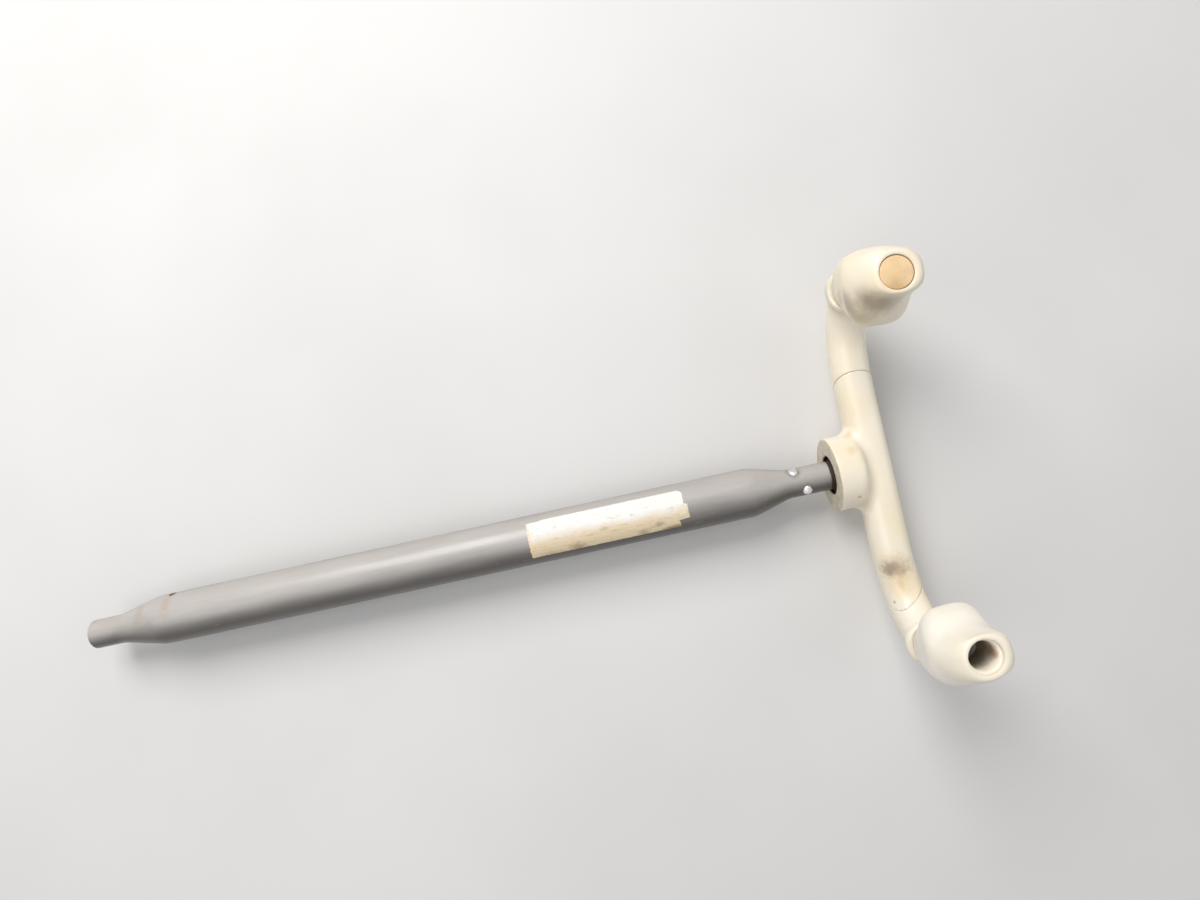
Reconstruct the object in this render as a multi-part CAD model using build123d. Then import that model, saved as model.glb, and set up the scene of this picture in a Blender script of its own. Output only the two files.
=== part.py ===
from build123d import *
import os
from math import copysign, cos, pi, radians, sin, sqrt

# The control wheel of a light aircraft on its column tube. The tube's tail mouth is the origin,
# the column runs from there to the pilot along -Y, +X is the pilot's right and +Z is up.

# Fits and cutting
fit_gap = 0.05          # round a piece that is fixed in its seat
running_gap = 0.08      # round the plunger in its guide
seam_gap = 0.2          # between the moulded skins where they meet end to end
overrun = 1.0           # how far a cutting solid passes the face that it opens

# Column tube
tube_radius = 19.05
tube_wall = 1.65
neck_radius = 11.1
neck_wall = 2.1
hub_distance = 586.3    # tail mouth to the hub's rear face
tail_neck_length = 22.0
tail_cone_length = 34.0
front_neck_length = 34.0    # hub's rear face to the cone
front_cone_length = 28.0
neck_insertion = 17.5       # how far the front neck enters the hub
swage_blend = 30.0
wire_hole_radius = 2.8
wire_hole_setback = 68.0    # from the tail mouth
wire_hole_turn = 75.0       # degrees from the top towards the pilot's right

# Label on the tube
label_thickness = 0.15
label_setback = 115.0       # from the hub's rear face
label_length = 121.0
label_angle = 89.0
label_turn = 2.5
label_tab_length = 5.0
label_tab_angle = 34.0

# Spigot and its fastenings
spigot_reach = 44.0         # in the neck, from the hub's rear face
shank_radius = 5.2
thread_relief = 0.45
thread_reach = 1.2          # past the nut
nut_width = 14.3            # across flats
nut_height = 8.0
washer_radius = 8.6
washer_thickness = 1.6
key_width = 2.4
key_length = 8.0
rivet_radius = 1.98
rivet_head_radius = 3.9
rivet_head_height = 1.7
rivet_turn = 52.0           # of the rear rivet
rivet_cross_angle = 90.0    # from the rear rivet to the front one
rear_rivet_setback = 28.3   # from the hub's rear face
rivet_pitch = 7.6

# Hub
hub_radius = 28.4
hub_depth = 23.0
hub_front_blend = 8.0
hub_bore_radius = 15.0
hub_edge_blend = 0.8
web_thickness = 13.5
bushing_sink = 3.5          # under the hub's rear face
nut_recess_radius = 9.0
hub_cap_radius = 10.4
hub_cap_depth = 4.0         # from the front of the arms
hub_cap_lip_wall = 1.2
hub_cap_lip_length = 1.8
hub_arm_blend = 8.0

# Arms. Their centre line runs out from the hub, turns a little to the pilot and then up.
arm_setback = 33.0          # centre line behind the hub's rear face
arm_half_depth = 14.1
arm_half_height = 15.5
arm_power = 2.3
sweep_start = 68.5
sweep_radius = 110.0
sweep_angle = 4.0
arm_straight = 11.5
rise_radius = 46.0
collar_angle = 71.0
bead_rise = 3.6
bead_length = 7.0
right_seam = 66.8           # along the arm from the column axis
right_seam_skew = 3.9       # degrees, the pilot's side nearer the hub
right_seam_lean = 25.0      # degrees, the upper side further from the hub
left_seam = 100.5
left_seam_skew = 27.8
left_seam_lean = 10.5
spar_radius = 8.0
spar_wall = 1.5
spar_inner_end = 20.0       # from the column axis

# Horns
horn_top = 108.0            # above the column axis
horn_width = 49.0
horn_depth = 49.5
horn_seat_power = 2.2
# Each row: height, then reach inboard, outboard, to the tail and to the pilot, then the
# power of the section, 2 for an ellipse and more for a squarer one
horn_shares = (
    (0.200, 0.490, 0.500, 0.345, 0.510, 2.60),
    (0.420, 0.615, 0.480, 0.400, 0.510, 3.00),
    (0.580, 0.540, 0.464, 0.455, 0.460, 2.62),
    (0.720, 0.403, 0.432, 0.434, 0.440, 2.00),
    (0.860, 0.318, 0.372, 0.385, 0.430, 2.33),
    (0.950, 0.288, 0.322, 0.330, 0.380, 2.60),
    (1.000, 0.286, 0.302, 0.274, 0.300, 2.10),
)
horn_steps = 20             # sections in all
section_points = 24

# Sockets in the horn tops
socket_out = 123.6          # from the column axis
socket_setback = 40.1       # behind the hub's rear face
horn_rim_blend = 1.6
mouth_radius = 11.4
mouth_depth = 4.0
socket_radius = 9.7
socket_depth = 34.0
wire_passage_radius = 3.0
horn_pin_radius = 2.0
horn_pin_length = 26.0
horn_pin_angle = 79.0

# Talk button and its switch
button_gap = 0.5
button_travel = 1.5
button_thickness = 2.2
button_edge_blend = 0.5
plunger_radius = 3.0
plunger_length = 18.0
guide_length = 4.0
guide_sink = 0.3            # under the socket's step
spring_pocket_radius = 6.6
spring_pocket_depth = 8.0
spring_coil_radius = 5.0
spring_wire_radius = 0.4
spring_turns = 5
switch_body_length = 13.7
switch_wall = 2.4
contact_radius = 6.0
contact_thickness = 1.0
contact_air = 0.1           # left under the contact disc at full travel
terminal_radius = 1.2
terminal_spacing = 7.0
terminal_reach = 2.6        # below the switch body

# Places that follow from the sizes
hub_face = -hub_distance
arm_y = hub_face - arm_setback
arm_front = arm_y - arm_half_depth
cap_seat = arm_front + hub_cap_depth
tube_bore = tube_radius - tube_wall
neck_bore = neck_radius - neck_wall
neck_end = hub_face - neck_insertion
web_front = neck_end - web_thickness
nut_seat = web_front - washer_thickness
thread_end = nut_seat - nut_height - thread_reach
middle_bar_reach = hub_radius + 2 * hub_arm_blend
right_seam_place = (right_seam, right_seam_skew, right_seam_lean)
left_seam_place = (left_seam, left_seam_skew, left_seam_lean)
rise_start = sweep_start + radians(sweep_angle) * sweep_radius + arm_straight
collar_at = rise_start + radians(collar_angle) * rise_radius
spar_end_at = rise_start + radians(90) * rise_radius
step_z = horn_top - mouth_depth
bush_top = step_z - guide_sink
pocket_floor = bush_top - spring_pocket_depth
bush_foot = pocket_floor - guide_length
cap_foot = horn_top - button_thickness
socket_y = hub_face - socket_setback


def along_y(radius, start, end):
    """A round bar on the column axis between two places."""
    return Pos(0, (start + end) / 2, 0) * Rot(90, 0, 0) * Cylinder(radius, abs(end - start))


def upright(radius, low, high, x=0, y=0):
    """A round bar that stands along Z between two heights."""
    return Pos(x, y, (low + high) / 2) * Cylinder(radius, high - low)


def oval(reaches, power, plane):
    """A closed smooth section with its own reach each way, in a plane.

    reaches are to the tail, inboard or up, to the pilot, and outboard or down.
    """
    points = []
    for i in range(section_points):
        c = cos(2 * pi * i / section_points)
        s = sin(2 * pi * i / section_points)
        x_reach = reaches[0] if c > 0 else reaches[2]
        y_reach = reaches[1] if s > 0 else reaches[3]
        x = copysign(x_reach * abs(c) ** (2 / power), c)
        y = copysign(y_reach * abs(s) ** (2 / power), s)
        points.append((x, y))
    shares = [i / section_points for i in range(section_points + 1)]
    outline = Edge.make_spline(points, periodic=True, parameters=shares)
    return plane * make_face(outline)


def arm_section(plane, extra=0):
    """The arm's section, grown by an extra all round."""
    depth, height = arm_half_depth + extra, arm_half_height + extra
    return oval((depth, height, depth, height), arm_power, plane)


def round_section(radius):
    """A maker of round sections, for spars and their channels."""
    return lambda plane: plane * Circle(radius)


def arm_legs():
    """The right arm's centre line: each leg's kind and length."""
    return (
        ("straight", sweep_start),
        ("sweep", radians(sweep_angle) * sweep_radius),
        ("straight", arm_straight),
        ("rise", radians(90) * rise_radius),
    )


def turned(plane, kind, length):
    """The section plane moved on by a length of one kind of leg."""
    tail, up, ahead = plane.x_dir, plane.y_dir, plane.z_dir
    if kind == "sweep":
        angle = length / sweep_radius
        origin = plane.origin + (ahead * sin(angle) - tail * (1 - cos(angle))) * sweep_radius
        return Plane(origin, x_dir=tail * cos(angle) + ahead * sin(angle),
                     z_dir=ahead * cos(angle) - tail * sin(angle))
    if kind == "rise":
        angle = length / rise_radius
        origin = plane.origin + (ahead * sin(angle) + up * (1 - cos(angle))) * rise_radius
        return Plane(origin, x_dir=tail, z_dir=ahead * cos(angle) + up * sin(angle))
    return Plane(plane.origin + ahead * length, x_dir=tail, z_dir=ahead)


def arm_plane(at):
    """The section plane at a length along the right arm's centre line."""
    plane = Plane((0, arm_y, 0), x_dir=(0, 1, 0), z_dir=(1, 0, 0))
    for kind, length in arm_legs():
        step = min(length, at)
        plane = turned(plane, kind, step)
        at -= step
    return plane


def arm_run(section, start, end):
    """A solid of one section along the right arm, between two lengths."""
    solid = None
    begin = 0
    for kind, length in arm_legs():
        first, last = max(start, begin), min(end, begin + length)
        begin += length
        if last <= first:
            continue
        plane = arm_plane(first)
        face = section(plane)
        if kind == "straight":
            piece = extrude(face, last - first, dir=plane.z_dir)
        elif kind == "sweep":
            axis = Axis(plane.origin - plane.x_dir * sweep_radius, -plane.y_dir)
            piece = revolve(face, axis, (last - first) / sweep_radius * 180 / pi)
        else:
            axis = Axis(plane.origin + plane.y_dir * rise_radius, -plane.x_dir)
            piece = revolve(face, axis, (last - first) / rise_radius * 180 / pi)
        solid = piece if solid is None else solid + piece
    return solid


def to_left(solid):
    """The left-hand twin of a right-hand piece."""
    return mirror(solid, about=Plane.YZ)


def tube_blank():
    """The tube, swaged down to a neck at each end, before its holes are drilled."""
    tail_shoulder = -tail_neck_length - tail_cone_length
    front_neck = hub_face + front_neck_length
    front_shoulder = front_neck + front_cone_length
    outline = Polyline(
        (neck_bore, 0), (neck_radius, 0), (neck_radius, -tail_neck_length),
        (tube_radius, tail_shoulder), (tube_radius, front_shoulder),
        (neck_radius, front_neck), (neck_radius, neck_end), (neck_bore, neck_end),
        (neck_bore, front_neck), (tube_bore, front_shoulder),
        (tube_bore, tail_shoulder), (neck_bore, -tail_neck_length), close=True)
    face = make_face(outline)
    bends = [v for v in face.vertices() if neck_end < v.Y < 0]
    return revolve(fillet(bends, swage_blend), Axis.Y)


def column_tube():
    """The tube with its holes for the rivets and the wire."""
    tube = tube_blank()
    hole = Rot(0, wire_hole_turn, 0) * upright(wire_hole_radius, 0, tube_radius + overrun)
    tube -= Pos(0, -wire_hole_setback, 0) * hole
    for shank in rivet_shanks(fit_gap):
        tube -= shank
    return tube


def rivet_places():
    """Where the two crossed rivets pass the axis, and how each is turned."""
    rear = hub_face + rear_rivet_setback
    return ((rear, rivet_turn), (rear - rivet_pitch, rivet_turn - rivet_cross_angle))


def rivet_shanks(gap):
    """The rivets' shanks, grown by a gap, as long as the neck is wide."""
    reach = neck_radius + overrun
    return [Pos(0, y, 0) * Rot(0, turn, 0) * upright(rivet_radius + gap, -reach, reach)
            for y, turn in rivet_places()]


def neck_rivets():
    """Two crossed rivets whose domed heads sit on the round neck."""
    rivets = []
    tube = tube_blank()
    for y, turn in rivet_places():
        rivet = upright(rivet_radius, -neck_radius, neck_radius)
        seat = sqrt(neck_radius ** 2 - rivet_head_radius ** 2)
        crown = neck_radius + rivet_head_height
        for side in (-1, 1):
            head = upright(rivet_head_radius, seat, crown)
            head = fillet(head.edges().group_by(Axis.Z)[-1], rivet_head_height * 0.8)
            rivet += head if side > 0 else Rot(180, 0, 0) * head
        placed = Pos(0, y, 0) * Rot(0, turn, 0) * rivet
        shank = Pos(0, y, 0) * Rot(0, turn, 0) * upright(rivet_radius, -neck_radius, neck_radius)
        rivets.append((placed - tube) + shank)
    return Compound(children=[solid for rivet in rivets for solid in rivet.solids()])


def spigot():
    """The stepped pin that the neck is riveted to, with its keyway."""
    pin = along_y(neck_bore - fit_gap, hub_face + spigot_reach, neck_end)
    pin += along_y(shank_radius - fit_gap, neck_end, web_front)
    pin += along_y(shank_radius - thread_relief, web_front, thread_end)
    pin = chamfer(pin.edges().group_by(Axis.Y)[-1], thread_relief)
    for shank in rivet_shanks(fit_gap):
        pin -= shank
    return pin - key_block(fit_gap)


def key_block(gap):
    """The key's block between spigot and hub, grown by a gap."""
    middle = (neck_end + web_front) / 2
    side = key_width + 2 * gap
    return Pos(0, middle, shank_radius) * Box(side, key_length + 2 * gap, side)


def hub_bushing():
    """The ring that centres the neck in the hub's bore."""
    ring = along_y(hub_bore_radius - fit_gap, hub_face - bushing_sink, neck_end)
    return ring - along_y(neck_radius + fit_gap, hub_face, neck_end - overrun)


def hub_washer():
    """The plain washer under the nut."""
    ring = along_y(washer_radius, web_front, nut_seat)
    return ring - along_y(shank_radius - thread_relief + fit_gap, web_front + overrun,
                          nut_seat - overrun)


def hub_nut():
    """The hexagon nut that holds the wheel on the spigot."""
    blank = extrude(Plane.XZ * RegularPolygon(nut_width / 2, 6, major_radius=False), nut_height)
    nut = Pos(0, nut_seat, 0) * blank
    return nut - along_y(shank_radius - thread_relief + fit_gap, nut_seat + overrun,
                         thread_end - overrun)


def hub_cap():
    """The plain cap over the nut, flush with the arms' front, with a lip in the recess."""
    disc = along_y(hub_cap_radius - fit_gap, cap_seat, arm_front - overrun)
    cap = disc & middle_bar()
    lip_radius = nut_recess_radius - fit_gap
    lip = along_y(lip_radius, cap_seat + hub_cap_lip_length, cap_seat)
    lip -= along_y(lip_radius - hub_cap_lip_wall, cap_seat + hub_cap_lip_length + overrun,
                   cap_seat)
    return cap + lip


def seam_plane(seam, shift):
    """The plane of a seam across the right arm, shifted along its own normal."""
    at, skew, lean = seam
    level = cos(radians(lean))
    ahead = Vector(cos(radians(skew)) * level, -sin(radians(skew)) * level, -sin(radians(lean)))
    return Plane(arm_plane(at).origin + ahead * shift, x_dir=(0, 0, 1), z_dir=ahead)


def spar_channel(gap):
    """The round channel for a spar, from its inner end to its outer end."""
    return arm_run(round_section(spar_radius + gap), spar_inner_end, spar_end_at)


def middle_bar():
    """The straight bar through the hub, a little wider than the hub with its blends."""
    plane = Plane((-middle_bar_reach, arm_y, 0), x_dir=(0, 1, 0), z_dir=(1, 0, 0))
    return extrude(arm_section(plane), 2 * middle_bar_reach, dir=plane.z_dir)


def arm_root(seam):
    """The cast arm from the end of the middle bar to its seam, right-hand."""
    root = arm_run(arm_section, middle_bar_reach, seam[0] + 2 * arm_half_depth)
    return split(root, bisect_by=seam_plane(seam, -seam_gap / 2), keep=Keep.BOTTOM)


def wheel_casting():
    """The hub with its two short arms, bored for the column and the spars."""
    hub = along_y(hub_radius, hub_face, hub_face - hub_depth)
    hub = fillet(hub.edges().group_by(Axis.Y)[0], hub_front_blend)
    hub = fillet(hub.edges().group_by(Axis.Y)[-1], hub_edge_blend)
    bar = middle_bar()
    casting = hub + bar
    casting = fillet(new_edges(hub, bar, combined=casting), hub_arm_blend)
    casting += arm_root(right_seam_place) + to_left(arm_root(left_seam_place))
    casting -= along_y(hub_bore_radius, hub_face + overrun, neck_end)
    casting -= along_y(shank_radius, neck_end + overrun, web_front - overrun)
    casting -= along_y(nut_recess_radius, web_front, cap_seat - overrun)
    casting -= along_y(hub_cap_radius, cap_seat, arm_front - overrun)
    casting -= key_block(fit_gap)
    channel = spar_channel(fit_gap)
    return casting - channel - to_left(channel)


def spar():
    """The bent tube inside the right arm, from the hub into the horn."""
    tube = arm_run(round_section(spar_radius), spar_inner_end, spar_end_at)
    tube -= arm_run(round_section(spar_radius - spar_wall), spar_inner_end, spar_end_at)
    return tube - horn_pin(fit_gap)


def arm_sleeve(seam):
    """The moulded skin of the right arm from its seam to the beaded collar."""
    sleeve = arm_run(arm_section, seam[0] - 2 * arm_half_depth, collar_at)
    sleeve = split(sleeve, bisect_by=seam_plane(seam, seam_gap / 2), keep=Keep.TOP)
    bead = arm_run(lambda plane: arm_section(plane, bead_rise), collar_at - bead_length, collar_at)
    bead = fillet(bead.faces().sort_by(Axis.X)[0].edges(), bead_rise * 0.9)
    return sleeve + bead - spar_channel(fit_gap)


def eased(rows, share):
    """A table's values at a share, on a smooth curve that never overshoots the rows."""
    for low, high in zip(rows, rows[1:]):
        if share <= high[0]:
            break
    before = rows[max(rows.index(low) - 1, 0)]
    after = rows[min(rows.index(high) + 1, len(rows) - 1)]
    t = (share - low[0]) / (high[0] - low[0])
    values = []
    for i in range(1, len(low)):
        slope = (high[i] - low[i]) / (high[0] - low[0])
        enter = (low[i] - before[i]) / (low[0] - before[0]) if before is not low else slope
        leave = (after[i] - high[i]) / (after[0] - high[0]) if after is not high else slope
        bends = []
        for other in (enter, leave):
            bends.append(2 * slope * other / (slope + other) if slope * other > 0 else 0)
        width = high[0] - low[0]
        values.append(low[i] * (1 + 2 * t) * (1 - t) ** 2 + high[i] * t * t * (3 - 2 * t)
                      + bends[0] * width * t * (1 - t) ** 2 + bends[1] * width * t * t * (t - 1))
    return values


def horn_sections():
    """The horn's sections, from its seat on the collar to its flat top."""
    seat = arm_plane(collar_at)
    top = Vector(socket_out, socket_y, horn_top)
    half = (arm_half_height / horn_width, arm_half_depth / horn_depth)
    rows = ((0, half[0], half[0], half[1], half[1], horn_seat_power),) + horn_shares
    sections = []
    for step in range(horn_steps):
        share = step / (horn_steps - 1)
        inboard, outboard, tail, pilot, power = eased(rows, share)
        origin = seat.origin + (top - seat.origin) * share
        lean = max(0, 1 - share * 2)
        ahead = seat.z_dir * lean + Vector(0, 0, 1) * (1 - lean)
        plane = Plane(origin, x_dir=seat.x_dir, z_dir=ahead)
        reaches = (tail * horn_depth, inboard * horn_width,
                   pilot * horn_depth, outboard * horn_width)
        sections.append(oval(reaches, power, plane))
    return sections


def horn():
    """The right horn: a hand-filling grip with a thumb ledge, socketed at both ends."""
    grip = loft(horn_sections())
    grip = fillet(grip.faces().sort_by(Axis.Z)[-1].edges(), horn_rim_blend)
    grip -= upright(mouth_radius, step_z, horn_top + overrun, socket_out, socket_y)
    socket_foot = horn_top - socket_depth
    grip -= upright(socket_radius, socket_foot, step_z + overrun, socket_out, socket_y)
    grip -= arm_run(round_section(spar_radius + fit_gap), collar_at - overrun, spar_end_at)
    spar_mouth = arm_plane(spar_end_at).origin
    foot = Vector(socket_out, socket_y, socket_foot)
    run = foot - spar_mouth
    passage = Plane(spar_mouth, z_dir=run) * upright(wire_passage_radius, 0, run.length)
    grip -= passage
    return grip - horn_pin(fit_gap)


def horn_pin(gap):
    """The cross pin that holds the right horn on its spar, grown by a gap."""
    plane = arm_plane(rise_start + radians(horn_pin_angle) * rise_radius)
    across = Plane(plane.origin, z_dir=plane.x_dir)
    return across * upright(horn_pin_radius + gap, -horn_pin_length / 2 - gap,
                            horn_pin_length / 2 + gap)


def label():
    """The paper label round the upper side of the tube, with a tab where its end is torn."""
    start = hub_face + label_setback

    def patch(near, far, arc, turn):
        strip = Pos(tube_radius + fit_gap + label_thickness / 2, (near + far) / 2)
        strip = strip * Rectangle(label_thickness, far - near)
        return Rot(0, turn - 90 - arc / 2, 0) * revolve(strip, Axis.Y, arc)

    sheet = patch(start, start + label_length, label_angle, label_turn)
    tab = patch(start - label_tab_length, start, label_tab_angle, label_turn - label_tab_angle / 4)
    return sheet + tab


def at_socket(solid):
    """Moves a piece from the Z axis to the axis of the right horn's socket."""
    return Pos(socket_out, socket_y, 0) * solid


def button_cap():
    """The flush disc that the thumb presses."""
    cap = upright(mouth_radius - button_gap, cap_foot, horn_top)
    return at_socket(fillet(cap.edges().group_by(Axis.Z)[-1], button_edge_blend))


def button_plunger():
    """The pin under the cap that carries the contact disc."""
    return at_socket(upright(plunger_radius, cap_foot - plunger_length, cap_foot))


def contact_disc():
    """The disc at the plunger's foot that bridges the two contacts."""
    top = cap_foot - plunger_length
    return at_socket(upright(contact_radius, top - contact_thickness, top))


def guide_bush():
    """The bush in the socket that guides the plunger and holds the spring."""
    bush = upright(socket_radius - fit_gap, bush_foot, bush_top)
    bush -= upright(spring_pocket_radius, pocket_floor, bush_top + overrun)
    bush -= upright(plunger_radius + running_gap, bush_foot - overrun, bush_top)
    return at_socket(bush)


def return_spring():
    """The coil spring between the bush and the cap."""
    rise = cap_foot - pocket_floor - 2 * spring_wire_radius
    line = Helix(rise / spring_turns, rise, spring_coil_radius)
    wire = sweep(Plane(line @ 0, z_dir=line % 0) * Circle(spring_wire_radius), line)
    return at_socket(Pos(0, 0, pocket_floor + spring_wire_radius) * wire)


def switch_body():
    """The cup under the bush that holds the fixed contacts."""
    foot = bush_foot - switch_body_length
    cup = upright(socket_radius - fit_gap, foot, bush_foot)
    cup -= upright(socket_radius - fit_gap - switch_wall, foot + switch_wall, bush_foot + overrun)
    for side in (-1, 1):
        cup -= upright(terminal_radius + fit_gap, foot - overrun, bush_foot,
                       side * terminal_spacing / 2)
    return at_socket(cup)


def switch_terminals():
    """The two fixed contacts, each a stud through the cup's floor."""
    top = cap_foot - plunger_length - contact_thickness - button_travel - contact_air
    foot = bush_foot - switch_body_length - terminal_reach
    studs = [at_socket(upright(terminal_radius, foot, top, side * terminal_spacing / 2))
             for side in (-1, 1)]
    return Compound(children=[solid for stud in studs for solid in stud.solids()])


def pieces():
    """Every node's name and solid."""
    right_spar = spar()
    right_horn = horn()
    return {
        "column_tube": column_tube(),
        "neck_rivets": neck_rivets(),
        "wheel_spigot": spigot(),
        "spigot_key": key_block(0),
        "hub_bushing": hub_bushing(),
        "hub_washer": hub_washer(),
        "hub_nut": hub_nut(),
        "hub_cap": hub_cap(),
        "wheel_casting": wheel_casting(),
        "right_spar": right_spar,
        "left_spar": to_left(right_spar),
        "right_arm_sleeve": arm_sleeve(right_seam_place),
        "left_arm_sleeve": to_left(arm_sleeve(left_seam_place)),
        "right_horn": right_horn,
        "left_horn": to_left(right_horn),
        "right_horn_pin": horn_pin(0),
        "left_horn_pin": to_left(horn_pin(0)),
        "label": label(),
        "button_cap": button_cap(),
        "button_plunger": button_plunger(),
        "contact_disc": contact_disc(),
        "guide_bush": guide_bush(),
        "return_spring": return_spring(),
        "switch_body": switch_body(),
        "switch_terminals": switch_terminals(),
    }


os.makedirs("parts", exist_ok=True)
for name, solid in pieces().items():
    export_step(solid, "parts/" + name + ".step")
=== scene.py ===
"""Dressed visual model of a light aircraft's control wheel on its column tube."""
import logging
from dataclasses import dataclass
from enum import Enum
from math import copysign, cos, pi, radians, sin, tan

import bmesh
import bpy
from mathutils import Matrix, Vector, noise


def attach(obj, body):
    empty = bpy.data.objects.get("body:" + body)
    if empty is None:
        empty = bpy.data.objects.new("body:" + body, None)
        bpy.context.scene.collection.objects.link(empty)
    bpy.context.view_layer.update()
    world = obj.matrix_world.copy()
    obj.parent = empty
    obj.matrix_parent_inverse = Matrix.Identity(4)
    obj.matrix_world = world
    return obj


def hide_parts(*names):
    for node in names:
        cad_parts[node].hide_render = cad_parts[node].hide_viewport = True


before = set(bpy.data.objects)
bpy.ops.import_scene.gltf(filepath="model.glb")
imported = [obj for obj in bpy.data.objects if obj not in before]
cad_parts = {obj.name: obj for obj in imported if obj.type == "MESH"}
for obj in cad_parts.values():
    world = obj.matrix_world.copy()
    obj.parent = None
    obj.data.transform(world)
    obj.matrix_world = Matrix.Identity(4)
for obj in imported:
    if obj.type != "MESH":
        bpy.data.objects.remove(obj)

log = logging.getLogger("control_wheel")
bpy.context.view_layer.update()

MM = 0.001
SMOOTH_ANGLE = 40.0
Piece = bpy.types.Object
Socket = bpy.types.NodeSocket
Ring = list[Vector]
Profile = list[tuple[float, float]]
Triple = tuple[float, float, float]


class Body(Enum):
    """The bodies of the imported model."""

    YOKE = "yoke"
    BUTTON = "talk_button"


def deselect_all() -> None:
    """Clears the selection in object mode."""
    if bpy.context.object and bpy.context.object.mode != "OBJECT":
        bpy.ops.object.mode_set(mode="OBJECT")
    bpy.ops.object.select_all(action="DESELECT")


def take(piece: Piece) -> None:
    """Selects one object alone and makes it active.

    Args:
        piece: The object to work on.
    """
    deselect_all()
    piece.select_set(True)
    bpy.context.view_layer.objects.active = piece


def circle(centre: Vector, across: Vector, up: Vector, radius: float, count: int) -> Ring:
    """Points evenly round a circle.

    Args:
        centre: The circle's centre in millimetres.
        across: The unit direction of the first point.
        up: The unit direction a quarter turn on.
        radius: The radius in millimetres.
        count: How many points.

    Returns:
        The points in millimetres.
    """
    turns = [2 * pi * i / count for i in range(count)]
    return [centre + (across * cos(t) + up * sin(t)) * radius for t in turns]


def rounded(points: Profile, blend: float, steps: int) -> Profile:
    """A profile whose inner corners are rounded.

    Args:
        points: The corners, each a place along the axis and a radius.
        blend: The radius of the rounding.
        steps: How many chords make one rounding.

    Returns:
        The profile with arcs in place of the corners.
    """
    profile = [points[0]]
    for before, corner, after in zip(points, points[1:], points[2:]):
        into = Vector(corner) - Vector(before)
        out = Vector(after) - Vector(corner)
        turn = into.normalized().angle(out.normalized())
        reach = min(blend * tan(turn / 2), into.length * 0.45, out.length * 0.45)
        start = Vector(corner) - into.normalized() * reach
        end = Vector(corner) + out.normalized() * reach
        for i in range(steps + 1):
            t = i / steps
            point = start * (1 - t) ** 2 + Vector(corner) * 2 * t * (1 - t) + end * t * t
            profile.append((point.x, point.y))
    profile.append(points[-1])
    return profile


class Skin:
    """A closed skin pulled out ring by ring with the extrude operator."""

    def __init__(self, name: str, piece: Piece) -> None:
        """Starts from a circle that lies at the origin, with its place in its mesh.

        Args:
            name: The piece's name.
            piece: The circle, which becomes the first ring.
        """
        self.piece = piece
        piece.name = name
        piece.data.name = name
        self.first = list(range(len(piece.data.vertices)))
        self.ring = list(self.first)
        bpy.ops.object.mode_set(mode="EDIT")
        bpy.ops.mesh.select_mode(type="VERT")
        bpy.ops.mesh.select_all(action="SELECT")

    @classmethod
    def through(cls, name: str, rings: list[Ring]) -> "Skin":
        """Starts on the first of some rings and pulls through all the others.

        Args:
            name: The piece's name.
            rings: The rings' points in millimetres.

        Returns:
            The skin, still open at both ends.
        """
        deselect_all()
        bpy.ops.mesh.primitive_circle_add(vertices=len(rings[0]), radius=MM, fill_type="NOTHING")
        skin = cls(name, bpy.context.active_object)
        skin._place(rings[0])
        for ring in rings[1:]:
            skin.pull(ring)
        return skin

    def _place(self, points: Ring) -> None:
        """Moves the current ring onto points.

        Args:
            points: One point in millimetres for each vertex of the ring.
        """
        mesh = bmesh.from_edit_mesh(self.piece.data)
        mesh.verts.ensure_lookup_table()
        for index, point in zip(self.ring, points):
            mesh.verts[index].co = point * MM
        bmesh.update_edit_mesh(self.piece.data)

    def pull(self, points: Ring) -> None:
        """Extrudes the current ring and lays the new one on points.

        Args:
            points: The new ring's points in millimetres.
        """
        bpy.ops.mesh.extrude_region_move()
        mesh = bmesh.from_edit_mesh(self.piece.data)
        mesh.verts.ensure_lookup_table()
        old = set(self.ring)
        follow = []
        for index in self.ring:
            for edge in mesh.verts[index].link_edges:
                other = edge.other_vert(mesh.verts[index])
                if other.select and other.index not in old:
                    follow.append(other.index)
                    break
        self.ring = follow
        self._place(points)

    def fill(self) -> None:
        """Closes the current ring with one flat face."""
        bpy.ops.mesh.edge_face_add()

    def _select_first_too(self) -> None:
        """Adds the first ring to what is selected."""
        mesh = bmesh.from_edit_mesh(self.piece.data)
        mesh.verts.ensure_lookup_table()
        for index in self.first:
            mesh.verts[index].select_set(True)
        mesh.select_flush(True)
        bmesh.update_edit_mesh(self.piece.data)

    def fill_start(self) -> None:
        """Closes the first ring with one flat face."""
        bpy.ops.mesh.select_all(action="DESELECT")
        self._select_first_too()
        bpy.ops.mesh.edge_face_add()

    def join_ends(self) -> None:
        """Bridges the last ring, which is selected, back to the first one."""
        self._select_first_too()
        bpy.ops.mesh.bridge_edge_loops()

    def finish(self, smooth: float = SMOOTH_ANGLE) -> Piece:
        """Turns the faces outwards and leaves edit mode.

        Args:
            smooth: The angle in degrees under which edges are shaded smooth.

        Returns:
            The finished piece.
        """
        bpy.ops.mesh.select_all(action="SELECT")
        bpy.ops.mesh.remove_doubles(threshold=MM * 0.002)
        bpy.ops.mesh.normals_make_consistent(inside=False)
        bpy.ops.object.mode_set(mode="OBJECT")
        take(self.piece)
        bpy.ops.object.shade_smooth_by_angle(angle=radians(smooth))
        return self.piece


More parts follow.
